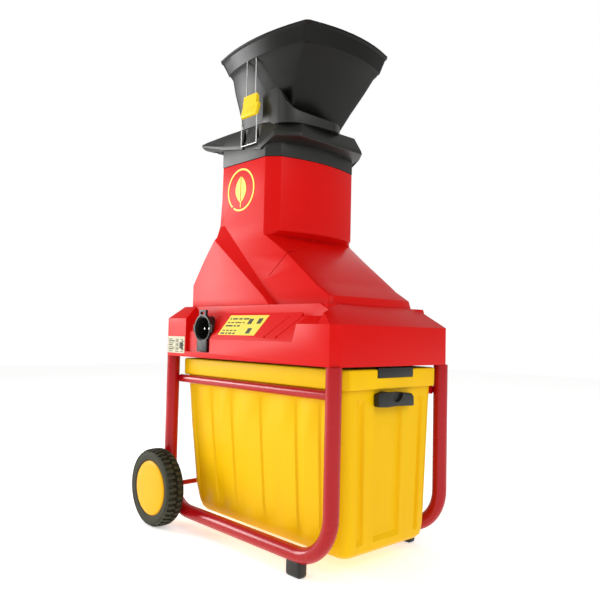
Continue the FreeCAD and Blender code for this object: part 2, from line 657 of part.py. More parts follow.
chute = loft([(602, chute_plan(chute_low, 0)), (895, chute_plan(chute_high, 0))])
chute_space = loft([(602, chute_plan(chute_low, chute_skin)), (895, chute_plan(chute_high, chute_skin))])
finish("feed_chute", cut(chute, [chute_space]))

# Controls on the tower's rear wall
box = block(-48, 48, 148, 174, "switch_z - 40", "switch_z + 40")
button_wells = [rod("y", -22, 162, f"switch_z + {gap}", "9 + run", 20) for gap in (-17, 17)]
selector_bore = rod("y", 22, 164, "switch_z", "4 + run", 20)
finish("switch_box", cut(box, [tower_form(0), selector_bore] + button_wells))
finish("start_button", group([rod("y", -22, 168, "switch_z + 17", 9, 10)]))
finish("stop_button", group([rod("y", -22, 168, "switch_z - 17", 9, 10)]))
dial = rod("y", 22, 174.5, "switch_z", 15, 6)
pointer = block(19, 25, 174.5, 189, "switch_z - 14", "switch_z + 14")
finish("direction_selector", join([dial, pointer, rod("y", 22, 165, "switch_z", 4, 12)]))


# Check and export

doc.recompute()
for thing in doc.Objects:
    if "Invalid" in thing.State or "Error" in thing.State:
        raise RuntimeError(f"{thing.Label}: {thing.State}")
os.makedirs("parts", exist_ok=True)
for piece in finished:
    if piece.Shape.isNull() or not piece.Shape.isValid() or not piece.Shape.Solids:
        raise RuntimeError(f"{piece.Label} has no valid solid")
    piece.Shape.exportStep(f"parts/{piece.Label}.step")
    print(piece.Label, len(piece.Shape.Solids), round(piece.Shape.Volume / 1000, 1), "cm3")
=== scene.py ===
import json
import math

import bpy
from mathutils import Matrix, Vector


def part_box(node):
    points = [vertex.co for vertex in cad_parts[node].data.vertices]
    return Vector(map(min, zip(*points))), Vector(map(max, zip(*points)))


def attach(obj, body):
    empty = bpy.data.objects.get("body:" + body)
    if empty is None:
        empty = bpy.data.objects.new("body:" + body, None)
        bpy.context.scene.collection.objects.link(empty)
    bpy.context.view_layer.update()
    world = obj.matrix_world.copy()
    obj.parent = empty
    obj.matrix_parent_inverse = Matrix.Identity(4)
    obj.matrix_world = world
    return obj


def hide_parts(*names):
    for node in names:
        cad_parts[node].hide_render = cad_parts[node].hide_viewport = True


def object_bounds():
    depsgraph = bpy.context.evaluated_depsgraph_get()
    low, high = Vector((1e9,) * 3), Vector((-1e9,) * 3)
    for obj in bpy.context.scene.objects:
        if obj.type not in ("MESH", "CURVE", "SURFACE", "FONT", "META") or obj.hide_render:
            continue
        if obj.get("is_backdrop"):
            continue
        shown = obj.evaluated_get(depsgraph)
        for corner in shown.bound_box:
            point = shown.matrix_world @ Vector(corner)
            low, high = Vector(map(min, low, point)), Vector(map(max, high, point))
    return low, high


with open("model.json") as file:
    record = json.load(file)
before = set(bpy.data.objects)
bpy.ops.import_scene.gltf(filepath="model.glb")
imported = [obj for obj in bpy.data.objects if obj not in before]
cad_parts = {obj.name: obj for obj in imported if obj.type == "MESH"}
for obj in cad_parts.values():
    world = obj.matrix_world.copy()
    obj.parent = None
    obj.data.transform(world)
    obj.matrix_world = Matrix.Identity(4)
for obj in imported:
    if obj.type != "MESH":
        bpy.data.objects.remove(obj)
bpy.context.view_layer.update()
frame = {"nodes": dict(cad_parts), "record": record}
nodes = frame["nodes"]

# Studio: a pale seamless floor, a bright soft sky and four large lamps.
# The camera stands in front of the machine's left front corner, a little below half its height.
scene = bpy.context.scene
scene.view_settings.view_transform = "Standard"
camera_data = bpy.data.cameras.new("camera")
camera = bpy.data.objects.new("camera", camera_data)
scene.collection.objects.link(camera)
camera_data.sensor_width = 36.0
camera_data.lens = 38.48
camera.matrix_world = (
    Matrix.Translation((-1.0579, -1.1733, 0.4807))
    @ Matrix.Rotation(math.radians(-42.77), 4, "Z")
    @ Matrix.Rotation(math.radians(92.96), 4, "X")
    @ Matrix.Rotation(math.radians(1.28), 4, "Z")
)
scene.camera = camera


def linear(hex_colour):
    """An sRGB hex colour as the linear RGBA that shaders take."""
    channels = [int(hex_colour[i:i + 2], 16) / 255 for i in (1, 3, 5)]
    return [c / 12.92 if c <= 0.04045 else ((c + 0.055) / 1.055) ** 2.4 for c in channels] + [1.0]


def add_node(tree, kind, settings=None, **links):
    """Adds a node; settings are its properties or socket values, links name the sockets that feed it."""
    node = tree.nodes.new(kind)
    for name, value in (settings or {}).items():
        if isinstance(name, int) or name in node.inputs:
            node.inputs[name].default_value = value
        else:
            setattr(node, name, value)
    for name, source in links.items():
        socket = node.inputs[int(name[1:])] if name[0] == "_" else node.inputs[name]
        tree.links.new(source, socket)
    return node


def new_material(name, colour, roughness):
    """A node material with its Principled shader set to one colour and roughness, ready for its patterns."""
    material = bpy.data.materials.new(name)
    material.use_nodes = True
    tree = material.node_tree
    shader = tree.nodes["Principled BSDF"]
    shader.inputs["Base Color"].default_value = linear(colour)
    shader.inputs["Roughness"].default_value = roughness
    return material, tree, shader


def feed(shader, **patterns):
    """Leads patterns into the shader's sockets, each named with _ for a space."""
    for name, source in patterns.items():
        shader.id_data.links.new(source, shader.inputs[name.replace("_", " ")])


def deselect():
    bpy.ops.object.select_all(action="DESELECT")


deselect()
bpy.ops.mesh.primitive_plane_add(size=14, location=(0, 0, 0))
floor = bpy.context.object
floor.name = "studio_floor"
paper, tree, shader = new_material("white_background_paper", "#fdfdfc", 0.9)
shader.inputs["Emission Color"].default_value = linear("#ffffff")
shader.inputs["Emission Strength"].default_value = 0.47
floor.data.materials.append(paper)
floor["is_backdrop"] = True

world = bpy.data.worlds.new("studio")
scene.world = world
world.use_nodes = True
sky = world.node_tree
seen = add_node(sky, "ShaderNodeLightPath")
bright = add_node(sky, "ShaderNodeMapRange", {"To Min": 0.5, "To Max": 1.0}, Value=seen.outputs["Is Camera Ray"])
sky.nodes["Background"].inputs["Color"].default_value = linear("#ffffff")
sky.links.new(bright.outputs["Result"], sky.nodes["Background"].inputs["Strength"])


def soft_lamp(name, place, aim, width, power):
    lamp_data = bpy.data.lights.new(name, "AREA")
    lamp_data.shape = "SQUARE"
    lamp_data.size = width
    lamp_data.energy = power
    lamp = bpy.data.objects.new(name, lamp_data)
    scene.collection.objects.link(lamp)
    lamp.location = place
    lamp.rotation_euler = (Vector(aim) - Vector(place)).to_track_quat("-Z", "Y").to_euler()


soft_lamp("key_lamp", (-0.6, -3.0, 2.4), (0, 0, 0.6), 1.6, 34)
soft_lamp("left_lamp", (-3.0, -0.2, 1.8), (0, 0, 0.6), 1.4, 12)
soft_lamp("left_rear_lamp", (-2.0, 2.9, 1.2), (0, 0, 0.9), 1.4, 80)
soft_lamp("back_lamp", (2.4, 2.0, 2.4), (0, 0, 0.7), 1.8, 12)


# Side frames: one steel tube on each side, bent at both bottom corners and powder coated in glossy crimson.
# Each rail is a thinner tube welded between the uprights; the bin's rim rides on the two rails.
frame_low, frame_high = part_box("side_frame_left")
MID_Y = (frame_low.y + frame_high.y) / 2
MM = 0.001


def spot(x, y, z):
    """A point in metres from millimetres: x from the middle, y from the middle of the side frames, z from the floor."""
    return Vector((x * MM, MID_Y + y * MM, z * MM))


def settle():
    """Puts the active piece's place, turn and size into its mesh."""
    bpy.ops.object.transform_apply(location=True, rotation=True, scale=True)
    return bpy.context.object


def edit(piece):
    deselect()
    bpy.context.view_layer.objects.active = piece
    piece.select_set(True)
    bpy.ops.object.mode_set(mode="EDIT")


def done():
    bpy.ops.object.mode_set(mode="OBJECT")


def outward(piece):
    """Merges doubles and turns every face outwards."""
    edit(piece)
    bpy.ops.mesh.select_all(action="SELECT")
    bpy.ops.mesh.remove_doubles(threshold=0.00002)
    bpy.ops.mesh.normals_make_consistent(inside=False)
    done()


def apply_modifier(piece, kind, **settings):
    deselect()
    bpy.context.view_layer.objects.active = piece
    piece.select_set(True)
    modifier = piece.modifiers.new(kind.lower(), kind)
    for name, value in settings.items():
        setattr(modifier, name, value)
    bpy.ops.object.modifier_apply(modifier=modifier.name)


def merge(parts, name):
    """Joins parts into the last of them and names it."""
    deselect()
    for part in parts:
        part.select_set(True)
    bpy.context.view_layer.objects.active = parts[-1]
    bpy.ops.object.join()
    parts[-1].name = name


def round_edges(piece, width, segments=2, angle=28):
    apply_modifier(piece, "BEVEL", width=width * MM, segments=segments, limit_method="ANGLE",
                   angle_limit=math.radians(angle), use_clamp_overlap=True)


def finish(piece, material, body, slot, *cad_nodes, angle=32):
    """Gives a piece its shading, material and body, and hides the CAD nodes that it stands for. The slot is not used.
    """
    deselect()
    bpy.context.view_layer.objects.active = piece
    piece.select_set(True)
    bpy.ops.object.shade_smooth_by_angle(angle=math.radians(angle))
    piece.data.materials.clear()
    piece.data.materials.append(material)
    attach(piece, body)
    if cad_nodes:
        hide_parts(*cad_nodes)
    return piece


# Powder coat on tube: deep crimson under a clear gloss, with the faint orange peel of baked paint. It gives the
# eye long sharp highlights down the uprights. The peel's real 1 mm ripple is drawn at 3 mm so that it shows.
frame_paint, tree, shader = new_material("crimson_powder_coat", "#ac0812", 0.28)
shader.inputs["IOR"].default_value = 1.5
shader.inputs["Specular IOR Level"].default_value = 0.2
shader.inputs["Coat Weight"].default_value = 0.25
shader.inputs["Coat Roughness"].default_value = 0.08
place = add_node(tree, "ShaderNodeTexCoord")
peel = add_node(tree, "ShaderNodeTexNoise", {"Scale": 330.0, "Detail": 2.0}, Vector=place.outputs["Object"])
ripple = add_node(tree, "ShaderNodeBump", {"Strength": 0.12, "Distance": 0.0004}, Height=peel.outputs["Fac"])
cloud = add_node(tree, "ShaderNodeTexNoise", {"Scale": 9.0, "Detail": 3.0}, Vector=place.outputs["Object"])
tint = add_node(tree, "ShaderNodeMix", {"data_type": "RGBA", 6: linear("#a50711"), 7: linear("#b50c17")},
                _0=cloud.outputs["Fac"])
sheen = add_node(tree, "ShaderNodeMapRange", {"To Min": 0.22, "To Max": 0.34}, Value=cloud.outputs["Fac"])
feed(shader, Base_Color=tint.outputs[2], Roughness=sheen.outputs["Result"], Normal=ripple.outputs["Normal"])

TUBE_R, FRAME_X, FRAME_Y, BAR_Z, BEND = 16, 174, 285, 43, 92
for side, name in ((-1, "left"), (1, "right")):
    x = side * FRAME_X
    deselect()
    bpy.ops.mesh.primitive_circle_add(vertices=32, radius=TUBE_R * MM, location=spot(x, -FRAME_Y, 416.5))
    tube = settle()
    edit(tube)
    bpy.ops.mesh.select_all(action="SELECT")
    drop = (416.5 - BAR_Z - BEND) * MM
    bpy.ops.mesh.extrude_region_move(TRANSFORM_OT_translate={"value": (0, 0, -drop)})
    bpy.ops.mesh.spin(steps=14, angle=math.radians(-90), center=spot(x, BEND - FRAME_Y, BAR_Z + BEND), axis=(1, 0, 0))
    bpy.ops.mesh.extrude_region_move(TRANSFORM_OT_translate={"value": (0, 2 * (FRAME_Y - BEND) * MM, 0)})
    bpy.ops.mesh.spin(steps=14, angle=math.radians(-90), center=spot(x, FRAME_Y - BEND, BAR_Z + BEND), axis=(1, 0, 0))
    bpy.ops.mesh.extrude_region_move(TRANSFORM_OT_translate={"value": (0, 0, drop)})
    done()
    outward(tube)
    apply_modifier(tube, "SOLIDIFY", thickness=2 * MM, offset=-1)
    tube.name = f"side_tube_{name}"
    finish(tube, frame_paint, "chassis", "frame_paint", f"side_frame_{name}")

    deselect()
    bpy.ops.mesh.primitive_cylinder_add(vertices=28, radius=10 * MM, depth=544 * MM, location=spot(side * 157, 0, 360),
                                        rotation=(math.pi / 2, 0, 0))
    rail = settle()
    edit(rail)
    bpy.ops.mesh.select_all(action="DESELECT")
    bpy.ops.object.mode_set(mode="OBJECT")
    for face in rail.data.polygons:
        face.select = abs(face.normal.y) > 0.9
    bpy.ops.object.mode_set(mode="EDIT")
    bpy.ops.mesh.inset(thickness=2 * MM)
    bpy.ops.mesh.extrude_region_move(TRANSFORM_OT_translate={"value": (0, 0, 0)})
    done()
    outward(rail)
    rail.name = f"bin_rail_{name}"
    finish(rail, frame_paint, "chassis", "frame_paint", f"rail_{name}")

deselect()
bpy.ops.mesh.primitive_cylinder_add(vertices=24, radius=6 * MM, depth=476 * MM, location=spot(0, 272, 94),
                                    rotation=(0, math.pi / 2, 0))
axle = settle()
round_edges(axle, 1)
axle.name = "wheel_axle"
finish(axle, frame_paint, "chassis", "frame_paint", "axle")

# Front feet: moulded rubber-like blocks that saddle the bottom bars, rounded where they meet the ground.
# Black grained polypropylene: a dull, slightly warm black whose fine moulded grain breaks up the highlight. The
# real grain is about 0.5 mm and is drawn at 2 mm so that it shows.
black_plastic, tree, shader = new_material("grained_black_polypropylene", "#141410", 0.45)
shader.inputs["IOR"].default_value = 1.49
shader.inputs["Specular IOR Level"].default_value = 0.5
place = add_node(tree, "ShaderNodeTexCoord")
grain = add_node(tree, "ShaderNodeTexNoise", {"Scale": 500.0, "Detail": 3.0}, Vector=place.outputs["Object"])
pores = add_node(tree, "ShaderNodeBump", {"Strength": 0.35, "Distance": 0.0003}, Height=grain.outputs["Fac"])
cloud = add_node(tree, "ShaderNodeTexNoise", {"Scale": 14.0, "Detail": 4.0}, Vector=place.outputs["Object"])
tint = add_node(tree, "ShaderNodeMix", {"data_type": "RGBA", 6: linear("#10100c"), 7: linear("#1a1a15")},
                _0=cloud.outputs["Fac"])
dull = add_node(tree, "ShaderNodeMapRange", {"To Min": 0.38, "To Max": 0.5}, Value=cloud.outputs["Fac"])
feed(shader, Base_Color=tint.outputs[2], Roughness=dull.outputs["Result"], Normal=pores.outputs["Normal"])


def block(name, low, high):
    """A box between two corners in millimetres, ready to be shaped."""
    deselect()
    middle = [(a + b) / 2 for a, b in zip(low, high)]
    size = [(b - a) * MM for a, b in zip(low, high)]
    bpy.ops.mesh.primitive_cube_add(size=1, location=spot(*middle))
    piece = bpy.context.object
    piece.scale = size
    settle()
    piece.name = name
    return piece


for side, name in ((-1, "left"), (1, "right")):
    foot = block(f"front_foot_pad_{name}", (side * FRAME_X - 12, -213, 0), (side * FRAME_X + 12, -170, 36))
    edit(foot)
    bpy.ops.mesh.select_all(action="DESELECT")
    done()
    for edge in foot.data.edges:
        ends = [foot.data.vertices[i].co for i in edge.vertices]
        edge.select = abs(ends[0].z - ends[1].z) > 0.02
    edit(foot)
    bpy.ops.mesh.bevel(offset=7 * MM, segments=4)
    done()
    round_edges(foot, 3, 3, 40)
    finish(foot, black_plastic, "chassis", "black_plastic", f"front_foot_{name}")


# Wheels: a moulded rubber tyre with two staggered rows of lugs, on a yellow nylon rim with a plain domed hub cap.
# The wheel turns on the axle between the side frame and a washer.
tyre_rubber, tree, shader = new_material("moulded_tyre_rubber", "#33342a", 0.72)
shader.inputs["Specular IOR Level"].default_value = 0.35
place = add_node(tree, "ShaderNodeTexCoord")
dust = add_node(tree, "ShaderNodeTexNoise", {"Scale": 55.0, "Detail": 6.0}, Vector=place.outputs["Object"])
tint = add_node(tree, "ShaderNodeMix", {"data_type": "RGBA", 6: linear("#26271f"), 7: linear("#403f2c")},
                _0=dust.outputs["Fac"])
skin = add_node(tree, "ShaderNodeTexNoise", {"Scale": 420.0, "Detail": 4.0}, Vector=place.outputs["Object"])
pitted = add_node(tree, "ShaderNodeBump", {"Strength": 0.5, "Distance": 0.0005}, Height=skin.outputs["Fac"])
dull = add_node(tree, "ShaderNodeMapRange", {"To Min": 0.6, "To Max": 0.85}, Value=dust.outputs["Fac"])
feed(shader, Base_Color=tint.outputs[2], Roughness=dull.outputs["Result"], Normal=pitted.outputs["Normal"])

# Dyed nylon of the rims: a warm satin yellow, slightly cloudy, with a broad soft highlight.
cap_yellow, tree, shader = new_material("dyed_yellow_nylon", "#f0b000", 0.38)
shader.inputs["IOR"].default_value = 1.53
shader.inputs["Specular IOR Level"].default_value = 0.15
place = add_node(tree, "ShaderNodeTexCoord")
cloud = add_node(tree, "ShaderNodeTexNoise", {"Scale": 22.0, "Detail": 4.0}, Vector=place.outputs["Object"])
tint = add_node(tree, "ShaderNodeMix", {"data_type": "RGBA", 6: linear("#e9a900"), 7: linear("#f6b905")},
                _0=cloud.outputs["Fac"])
satin = add_node(tree, "ShaderNodeMapRange", {"To Min": 0.32, "To Max": 0.46}, Value=cloud.outputs["Fac"])
skin = add_node(tree, "ShaderNodeTexNoise", {"Scale": 450.0, "Detail": 2.0}, Vector=place.outputs["Object"])
bumps = add_node(tree, "ShaderNodeBump", {"Strength": 0.1, "Distance": 0.0003}, Height=skin.outputs["Fac"])
feed(shader, Base_Color=tint.outputs[2], Roughness=satin.outputs["Result"], Normal=bumps.outputs["Normal"])

AXLE_Y, AXLE_Z = 272, 94


def turned(name, profile, steps):
    """A closed outline of distance along the axle and radius, in millimetres, spun round the wheel axle."""
    deselect()
    bpy.ops.mesh.primitive_circle_add(vertices=len(profile), radius=0.1)
    piece = bpy.context.object
    for vertex, (x, radius) in zip(piece.data.vertices, profile):
        vertex.co = spot(x, AXLE_Y, AXLE_Z + radius)
    edit(piece)
    bpy.ops.mesh.select_all(action="SELECT")
    bpy.ops.mesh.spin(steps=steps, angle=2 * math.pi, center=spot(0, AXLE_Y, AXLE_Z), axis=(1, 0, 0))
    done()
    outward(piece)
    piece.name = name
    return piece


LUGS = 40
for side, name in ((-1, "left"), (1, "right")):
    outline = [(200, 66), (237, 66), (239.5, 70), (240, 80), (237, 86), (231, 89.2), (220, 90), (217, 90), (206, 89.2),
               (200, 86), (197, 80), (197.5, 70)]
    tyre = turned(f"tyre_tread_{name}", [(side * x, radius) for x, radius in outline], 2 * LUGS)
    tyre_middle = spot(0, AXLE_Y, AXLE_Z)
    # Known fault: the left tyre's lugs come out open and not the same on each run. The right tyre's are sound.
    # This first choice of faces looks needless, but the left tyre's shape depends on it.
    for face in tyre.data.polygons:
        across = abs(face.center.x) / MM
        arm = face.center - tyre_middle
        sector = int((math.atan2(arm.z, arm.y) % (2 * math.pi)) / (math.pi / LUGS))
        outer_row = 220 < across < 238.5
        inner_row = 198.5 < across < 217
        radius = math.hypot(arm.y, arm.z) / MM
        face.select = radius > 83 and ((outer_row and sector % 2 == 0) or (inner_row and sector % 2 == 1))
    for thing in (tyre.data.vertices, tyre.data.edges):
        for element in thing:
            element.select = False
    edit(tyre)
    bpy.ops.mesh.select_mode(type="FACE")
    done()
    for face in tyre.data.polygons:
        across = abs(face.center.x) / MM
        arm = face.center - tyre_middle
        sector = int((math.atan2(arm.z, arm.y) % (2 * math.pi)) / (math.pi / LUGS))
        rows = (220 < across < 238.5 and sector % 2 == 0) or (198.5 < across < 217 and sector % 2 == 1)
        face.select = rows and math.hypot(arm.y, arm.z) / MM > 83
    edit(tyre)
    bpy.ops.mesh.extrude_region_shrink_fatten(TRANSFORM_OT_shrink_fatten={"value": 3.6 * MM})
    done()
    round_edges(tyre, 0.7, 1, 40)
    finish(tyre, tyre_rubber, f"wheel_{name}", "tyre_rubber", f"tyre_{name}", angle=25)

    rim_outline = [(191, 6), (234, 6), (234, 14), (222, 16), (221, 54), (235, 56), (235, 65.8), (200, 65.8), (200, 61),
                   (217, 58), (217, 16), (191, 14)]
    rim = turned(f"wheel_hub_{name}", [(side * x, radius) for x, radius in rim_outline], 64)
    round_edges(rim, 0.8, 2, 35)
    ribs = []
    for step in range(6):
        rib = block(f"rib_{step}", (side * 209 - 8, AXLE_Y - 1.5, AXLE_Z + 12),
                    (side * 209 + 8, AXLE_Y + 1.5, AXLE_Z + 62))
        turn = Matrix.Rotation(step * math.pi / 3, 4, "X")
        centre = Matrix.Translation(spot(0, AXLE_Y, AXLE_Z))
        rib.data.transform(centre @ turn @ centre.inverted())
        ribs.append(rib)
    merge(ribs + [rim], f"wheel_hub_{name}")
    finish(rim, cap_yellow, f"wheel_{name}", "cap_yellow", f"wheel_rim_{name}")

    cap_outline = [(235, 57), (235, 64.5), (237.5, 65), (239, 63.5), (240.2, 59), (241.2, 48), (241.8, 30), (242, 12),
                   (242, 0), (240, 0), (240, 12), (239.6, 30), (239, 48), (238, 57)]
    cap = turned(f"hub_disc_{name}", [(side * x, radius) for x, radius in cap_outline], 72)
    finish(cap, cap_yellow, f"wheel_{name}", "cap_yellow", f"hub_cap_{name}", angle=40)


# Lower cover: one glossy red ABS moulding over the motor and cutter. Its sides slope in between a front block and
# a rear block, the left side has a pocket for the mains inlet, and slanted vent grooves are cut in the slopes.
# Moulded ABS: saturated red with a broad, slightly clouded gloss and barely visible moulding texture.
cover_red, tree, shader = new_material("moulded_red_abs", "#d10a06", 0.36)
shader.inputs["IOR"].default_value = 1.52
shader.inputs["Specular IOR Level"].default_value = 0.12
place = add_node(tree, "ShaderNodeTexCoord")
cloud = add_node(tree, "ShaderNodeTexNoise", {"Scale": 7.0, "Detail": 3.0}, Vector=place.outputs["Object"])
tint = add_node(tree, "ShaderNodeMix", {"data_type": "RGBA", 6: linear("#cd0a06"), 7: linear("#d60d08")},
                _0=cloud.outputs["Fac"])
gloss = add_node(tree, "ShaderNodeMapRange", {"To Min": 0.3, "To Max": 0.42}, Value=cloud.outputs["Fac"])
skin = add_node(tree, "ShaderNodeTexNoise", {"Scale": 600.0, "Detail": 2.0}, Vector=place.outputs["Object"])
texture = add_node(tree, "ShaderNodeBump", {"Strength": 0.08, "Distance": 0.0003}, Height=skin.outputs["Fac"])
feed(shader, Base_Color=tint.outputs[2], Roughness=gloss.outputs["Result"], Normal=texture.outputs["Normal"])


def stack(name, rings):
    """A closed body through rings of corners, each a list of (x, y, z) in millimetres, extruded one from the next."""
    deselect()
    count = len(rings[0])
    bpy.ops.mesh.primitive_circle_add(vertices=count, radius=1, fill_type="NGON")
    piece = bpy.context.object
    for vertex, corner in zip(piece.data.vertices, rings[0]):
        vertex.co = spot(*corner)
    last = list(range(count))
    for ring in rings[1:]:
        before = [piece.data.vertices[index].co.copy() for index in last]
        edit(piece)
        bpy.ops.mesh.extrude_region_move(TRANSFORM_OT_translate={"value": (0, 0, 0)})
        done()
        fresh = [vertex.index for vertex in piece.data.vertices if vertex.select]
        last = [min(fresh, key=lambda index: (piece.data.vertices[index].co - here).length) for here in before]
        for index, corner in zip(last, ring):
            piece.data.vertices[index].co = spot(*corner)
        piece.data.update()
    outward(piece)
    piece.name = name
    return piece


def octagon(z, half_x, front, rear, front_x, front_y, rear_cut):
    """Level outline with its two front corners and two rear corners cut off."""
    right = [(half_x - front_x, front), (half_x, front + front_y), (half_x, rear - rear_cut), (half_x - rear_cut, rear)]
    return [(x, y, z) for x, y in right] + [(-x, y, z) for x, y in reversed(right)]


def combine(piece, other, how):
    """Joins, cuts or intersects a piece with another, which is used up."""
    apply_modifier(piece, "BOOLEAN", object=other, operation=how, solver="EXACT")
    bpy.data.objects.remove(other)


def long_prism(name, section, low, high):
    """An outline of x and z, run along y from low to high."""
    return stack(name, [[(x, y, z) for x, z in section] for y in (low, high)])


BAND_LOW, BAND_TOP, DECK = 417, 499, 541
cover = stack("lower_cover", [
    octagon(BAND_LOW, 190, -301, 302, 20, 14, 12), octagon(BAND_TOP, 190, -301, 302, 20, 14, 12),
    octagon(536, 164, -250, 273, 20, 14, 12), octagon(DECK, 160, -243, 270, 20, 14, 12)])
rear_block = stack("rear_block", [
    octagon(420, 190, 209, 302, 0.1, 0.1, 12), octagon(511, 190, 209, 302, 0.1, 0.1, 12),
    octagon(DECK, 161, 209, 272, 0.1, 0.1, 12)])
combine(cover, rear_block, "UNION")
for side in (-1, 1):
    slope = [(side * x, z) for x, z in ((230, 462), (190, 462), (160, 524), (160, 560), (230, 560))]
    wedge = long_prism("side_slope", slope, -193, 209)
    for vertex in wedge.data.vertices:
        if vertex.co.y < 0:
            vertex.co.y -= (vertex.co.z - BAND_TOP * MM) * 0.33
    combine(cover, wedge, "DIFFERENCE")
    shelf = [(side * x, z) for x, z in ((230, 499.4), (190, 499.4), (160, 517), (160, 560), (230, 560))]
    combine(cover, long_prism("front_shelf", shelf, -254, -180), "DIFFERENCE")
pocket = [(-230, 430), (-182, 430), (-182, 500), (-160, DECK), (-160, 560), (-230, 560)]
combine(cover, long_prism("inlet_pocket", pocket, 106, 209), "DIFFERENCE")
for side in (-1, 1):
    riser = stack("corner_riser", [
        [(side * x, y, z) for x, y, z in ((130, -205, 505), (163, -205, 505), (163, -256, 505), (130, -256, 505))],
        [(side * x, y, z) for x, y, z in ((130, -222, DECK), (152, -222, DECK), (157, -247, DECK), (130, -247, DECK))]])
    combine(cover, riser, "UNION")
round_edges(cover, 2.2, 3, 25)

# Slanted vent grooves with round lower ends, three millimetres wide, on both slopes.
for side in (-1, 1):
    for top, low in (((-144, 516), (-88, 471)), ((-184, 516), (-127, 471))):
        start = spot(side * (190 - (top[1] - 462) * 30 / 62), top[0], top[1])
        end = spot(side * (190 - (low[1] - 462) * 30 / 62), low[0], low[1])
        deselect()
        bpy.ops.mesh.primitive_cylinder_add(vertices=12, radius=1.5 * MM, depth=(end - start).length)
        groove = bpy.context.object
        groove.rotation_euler = (end - start).to_track_quat("Z", "Y").to_euler()
        groove.location = (start + end) / 2
        settle()
        combine(cover, groove, "DIFFERENCE")
        deselect()
        bpy.ops.mesh.primitive_uv_sphere_add(segments=14, ring_count=8, radius=3 * MM, location=end)
        combine(cover, settle(), "DIFFERENCE")
hollow = stack("hollow", [octagon(410, 178, -298.5, 298, 14, 12, 12), octagon(452, 178, -298.5, 298, 14, 12, 12),
                          octagon(495, 167, -298.5, 288, 14, 12, 12), octagon(537, 150, -238, 262, 14, 12, 12)])
combine(cover, hollow, "DIFFERENCE")
combine(cover, block("tower_opening", (-128, -212, 530), (128, 222, 548)), "DIFFERENCE")
deselect()
bpy.ops.mesh.primitive_cylinder_add(vertices=48, radius=30 * MM, depth=50 * MM, location=spot(-180, 139, 487),
                                    rotation=(0, math.pi / 2, 0))
combine(cover, settle(), "DIFFERENCE")
finish(cover, cover_red, "chassis", "cover_red", "cover_base", angle=24)


# Feed tower: the tall red ABS moulding that carries the hopper. Its bowed front steps back into a long slope, its
# rear flares out, and a diagonal crease on each side leads to a fuller lower half. It is screwed to the cover.
def between(z, table):
    """The value at a height, from a table of heights and values, along straight lines."""
    for (z_low, low), (z_high, high) in zip(table, table[1:]):
        if z <= z_high:
            return low + (high - low) * max(z - z_low, 0) / (z_high - z_low)
    return table[-1][1]


RIDGE_X = [(541, 134), (559, 131), (656, 130), (694, 139), (702, 142)]
RIDGE_Y = [(541, -230), (559, -226), (582, -188), (595, -172), (627, -130), (656, -92), (694, -38),
           (702, -26), (712, -24)]
REAR_Y = [(541, 242), (595, 242), (658, 195), (707, 152), (881.5, 149)]
FRONT_STEPS = 9


def tower_ring(z, inset):
    """Level outline of the tower, drawn in by a wall thickness."""
    ridge_x, ridge_y, rear = between(z, RIDGE_X), between(z, RIDGE_Y), between(z, REAR_Y)
    front = []
    for step in range(FRONT_STEPS):
        across = 2 * step / (FRONT_STEPS - 1) - 1
        if z >= 712:
            front.append((117 * across, -71 + 19 * across ** 2))
        elif z > 702:
            front.append((114 * across, -62 + 16 * across ** 2))
        else:
            front.append(((ridge_x - 9) * across, ridge_y - 12 + 8 * across ** 2))
    crease = 125 - (737 - z) * 1.007
    fuller = max(-47 + (z - 562) * 1.358, crease + 4)
    last = rear - 14
    if z > 745:
        crease, side_x, fuller = 60, 142, 100
    elif fuller > last:
        side_x = 142 + 16 * max(last - crease, 0) / (fuller - crease)
        crease, fuller = min(crease, last - 4), last
    else:
        side_x = 158
    rear_x = side_x
    right = [(ridge_x, ridge_y), (142, crease), (side_x, fuller), (rear_x, rear - 12), (rear_x - 12, rear)]
    ring = front + right + [(-x, y) for x, y in reversed(right)]
    shrink = 1 - inset / 150
    return [(x * shrink, 20 + (y - 20) * shrink, z) for x, y in ring]


LEVELS = (541, 559, 582, 595, 627, 656, 680, 694, 702, 709, 712, 737, 800, 881.5)
tower = stack("feed_tower", [tower_ring(z, 0) for z in LEVELS])
round_edges(tower, 2.5, 3, 20)
inner_levels = [540, *LEVELS[1:-1], 883]
tower_space = stack("tower_space", [[(x, y, level) for x, y, z in tower_ring(min(max(level, 541), 881.5), 5)]
                                    for level in inner_levels])
combine(tower, tower_space, "DIFFERENCE")

# A curved seam is moulded up the lower left face and on across the slope.
side_out, slope_out = Vector((-1, 0, 0)), Vector((0, -0.6, 0.8))
seam_path = [((-138.8, -43, 608), (-134.8, -70, 632), side_out), ((-135, -69, 631), (-129.6, -94, 657), side_out),
             ((-126, -91, 656), (-96, -86, 668), slope_out), ((-97, -86.5, 667.7), (-48, -69, 682), slope_out)]
for start, end, depth in seam_path:
    start, end = spot(*start), spot(*end)
    along = (end - start).normalized()
    across = depth.cross(along).normalized()
    seam = block("seam", (-1, -1, -1), (1, 1, 1))
    seam.data.transform(Matrix.Translation(-spot(0, 0, 0)))
    seam.data.transform(Matrix.Diagonal((3, 1.0, 0.5 * (end - start).length / MM, 1)))
    seam.data.transform(Matrix((across.cross(along), across, along)).transposed().to_4x4())
    seam.data.transform(Matrix.Translation((start + end) / 2))
    combine(tower, seam, "DIFFERENCE")
finish(tower, cover_red, "chassis", "cover_red", "tower", angle=22)


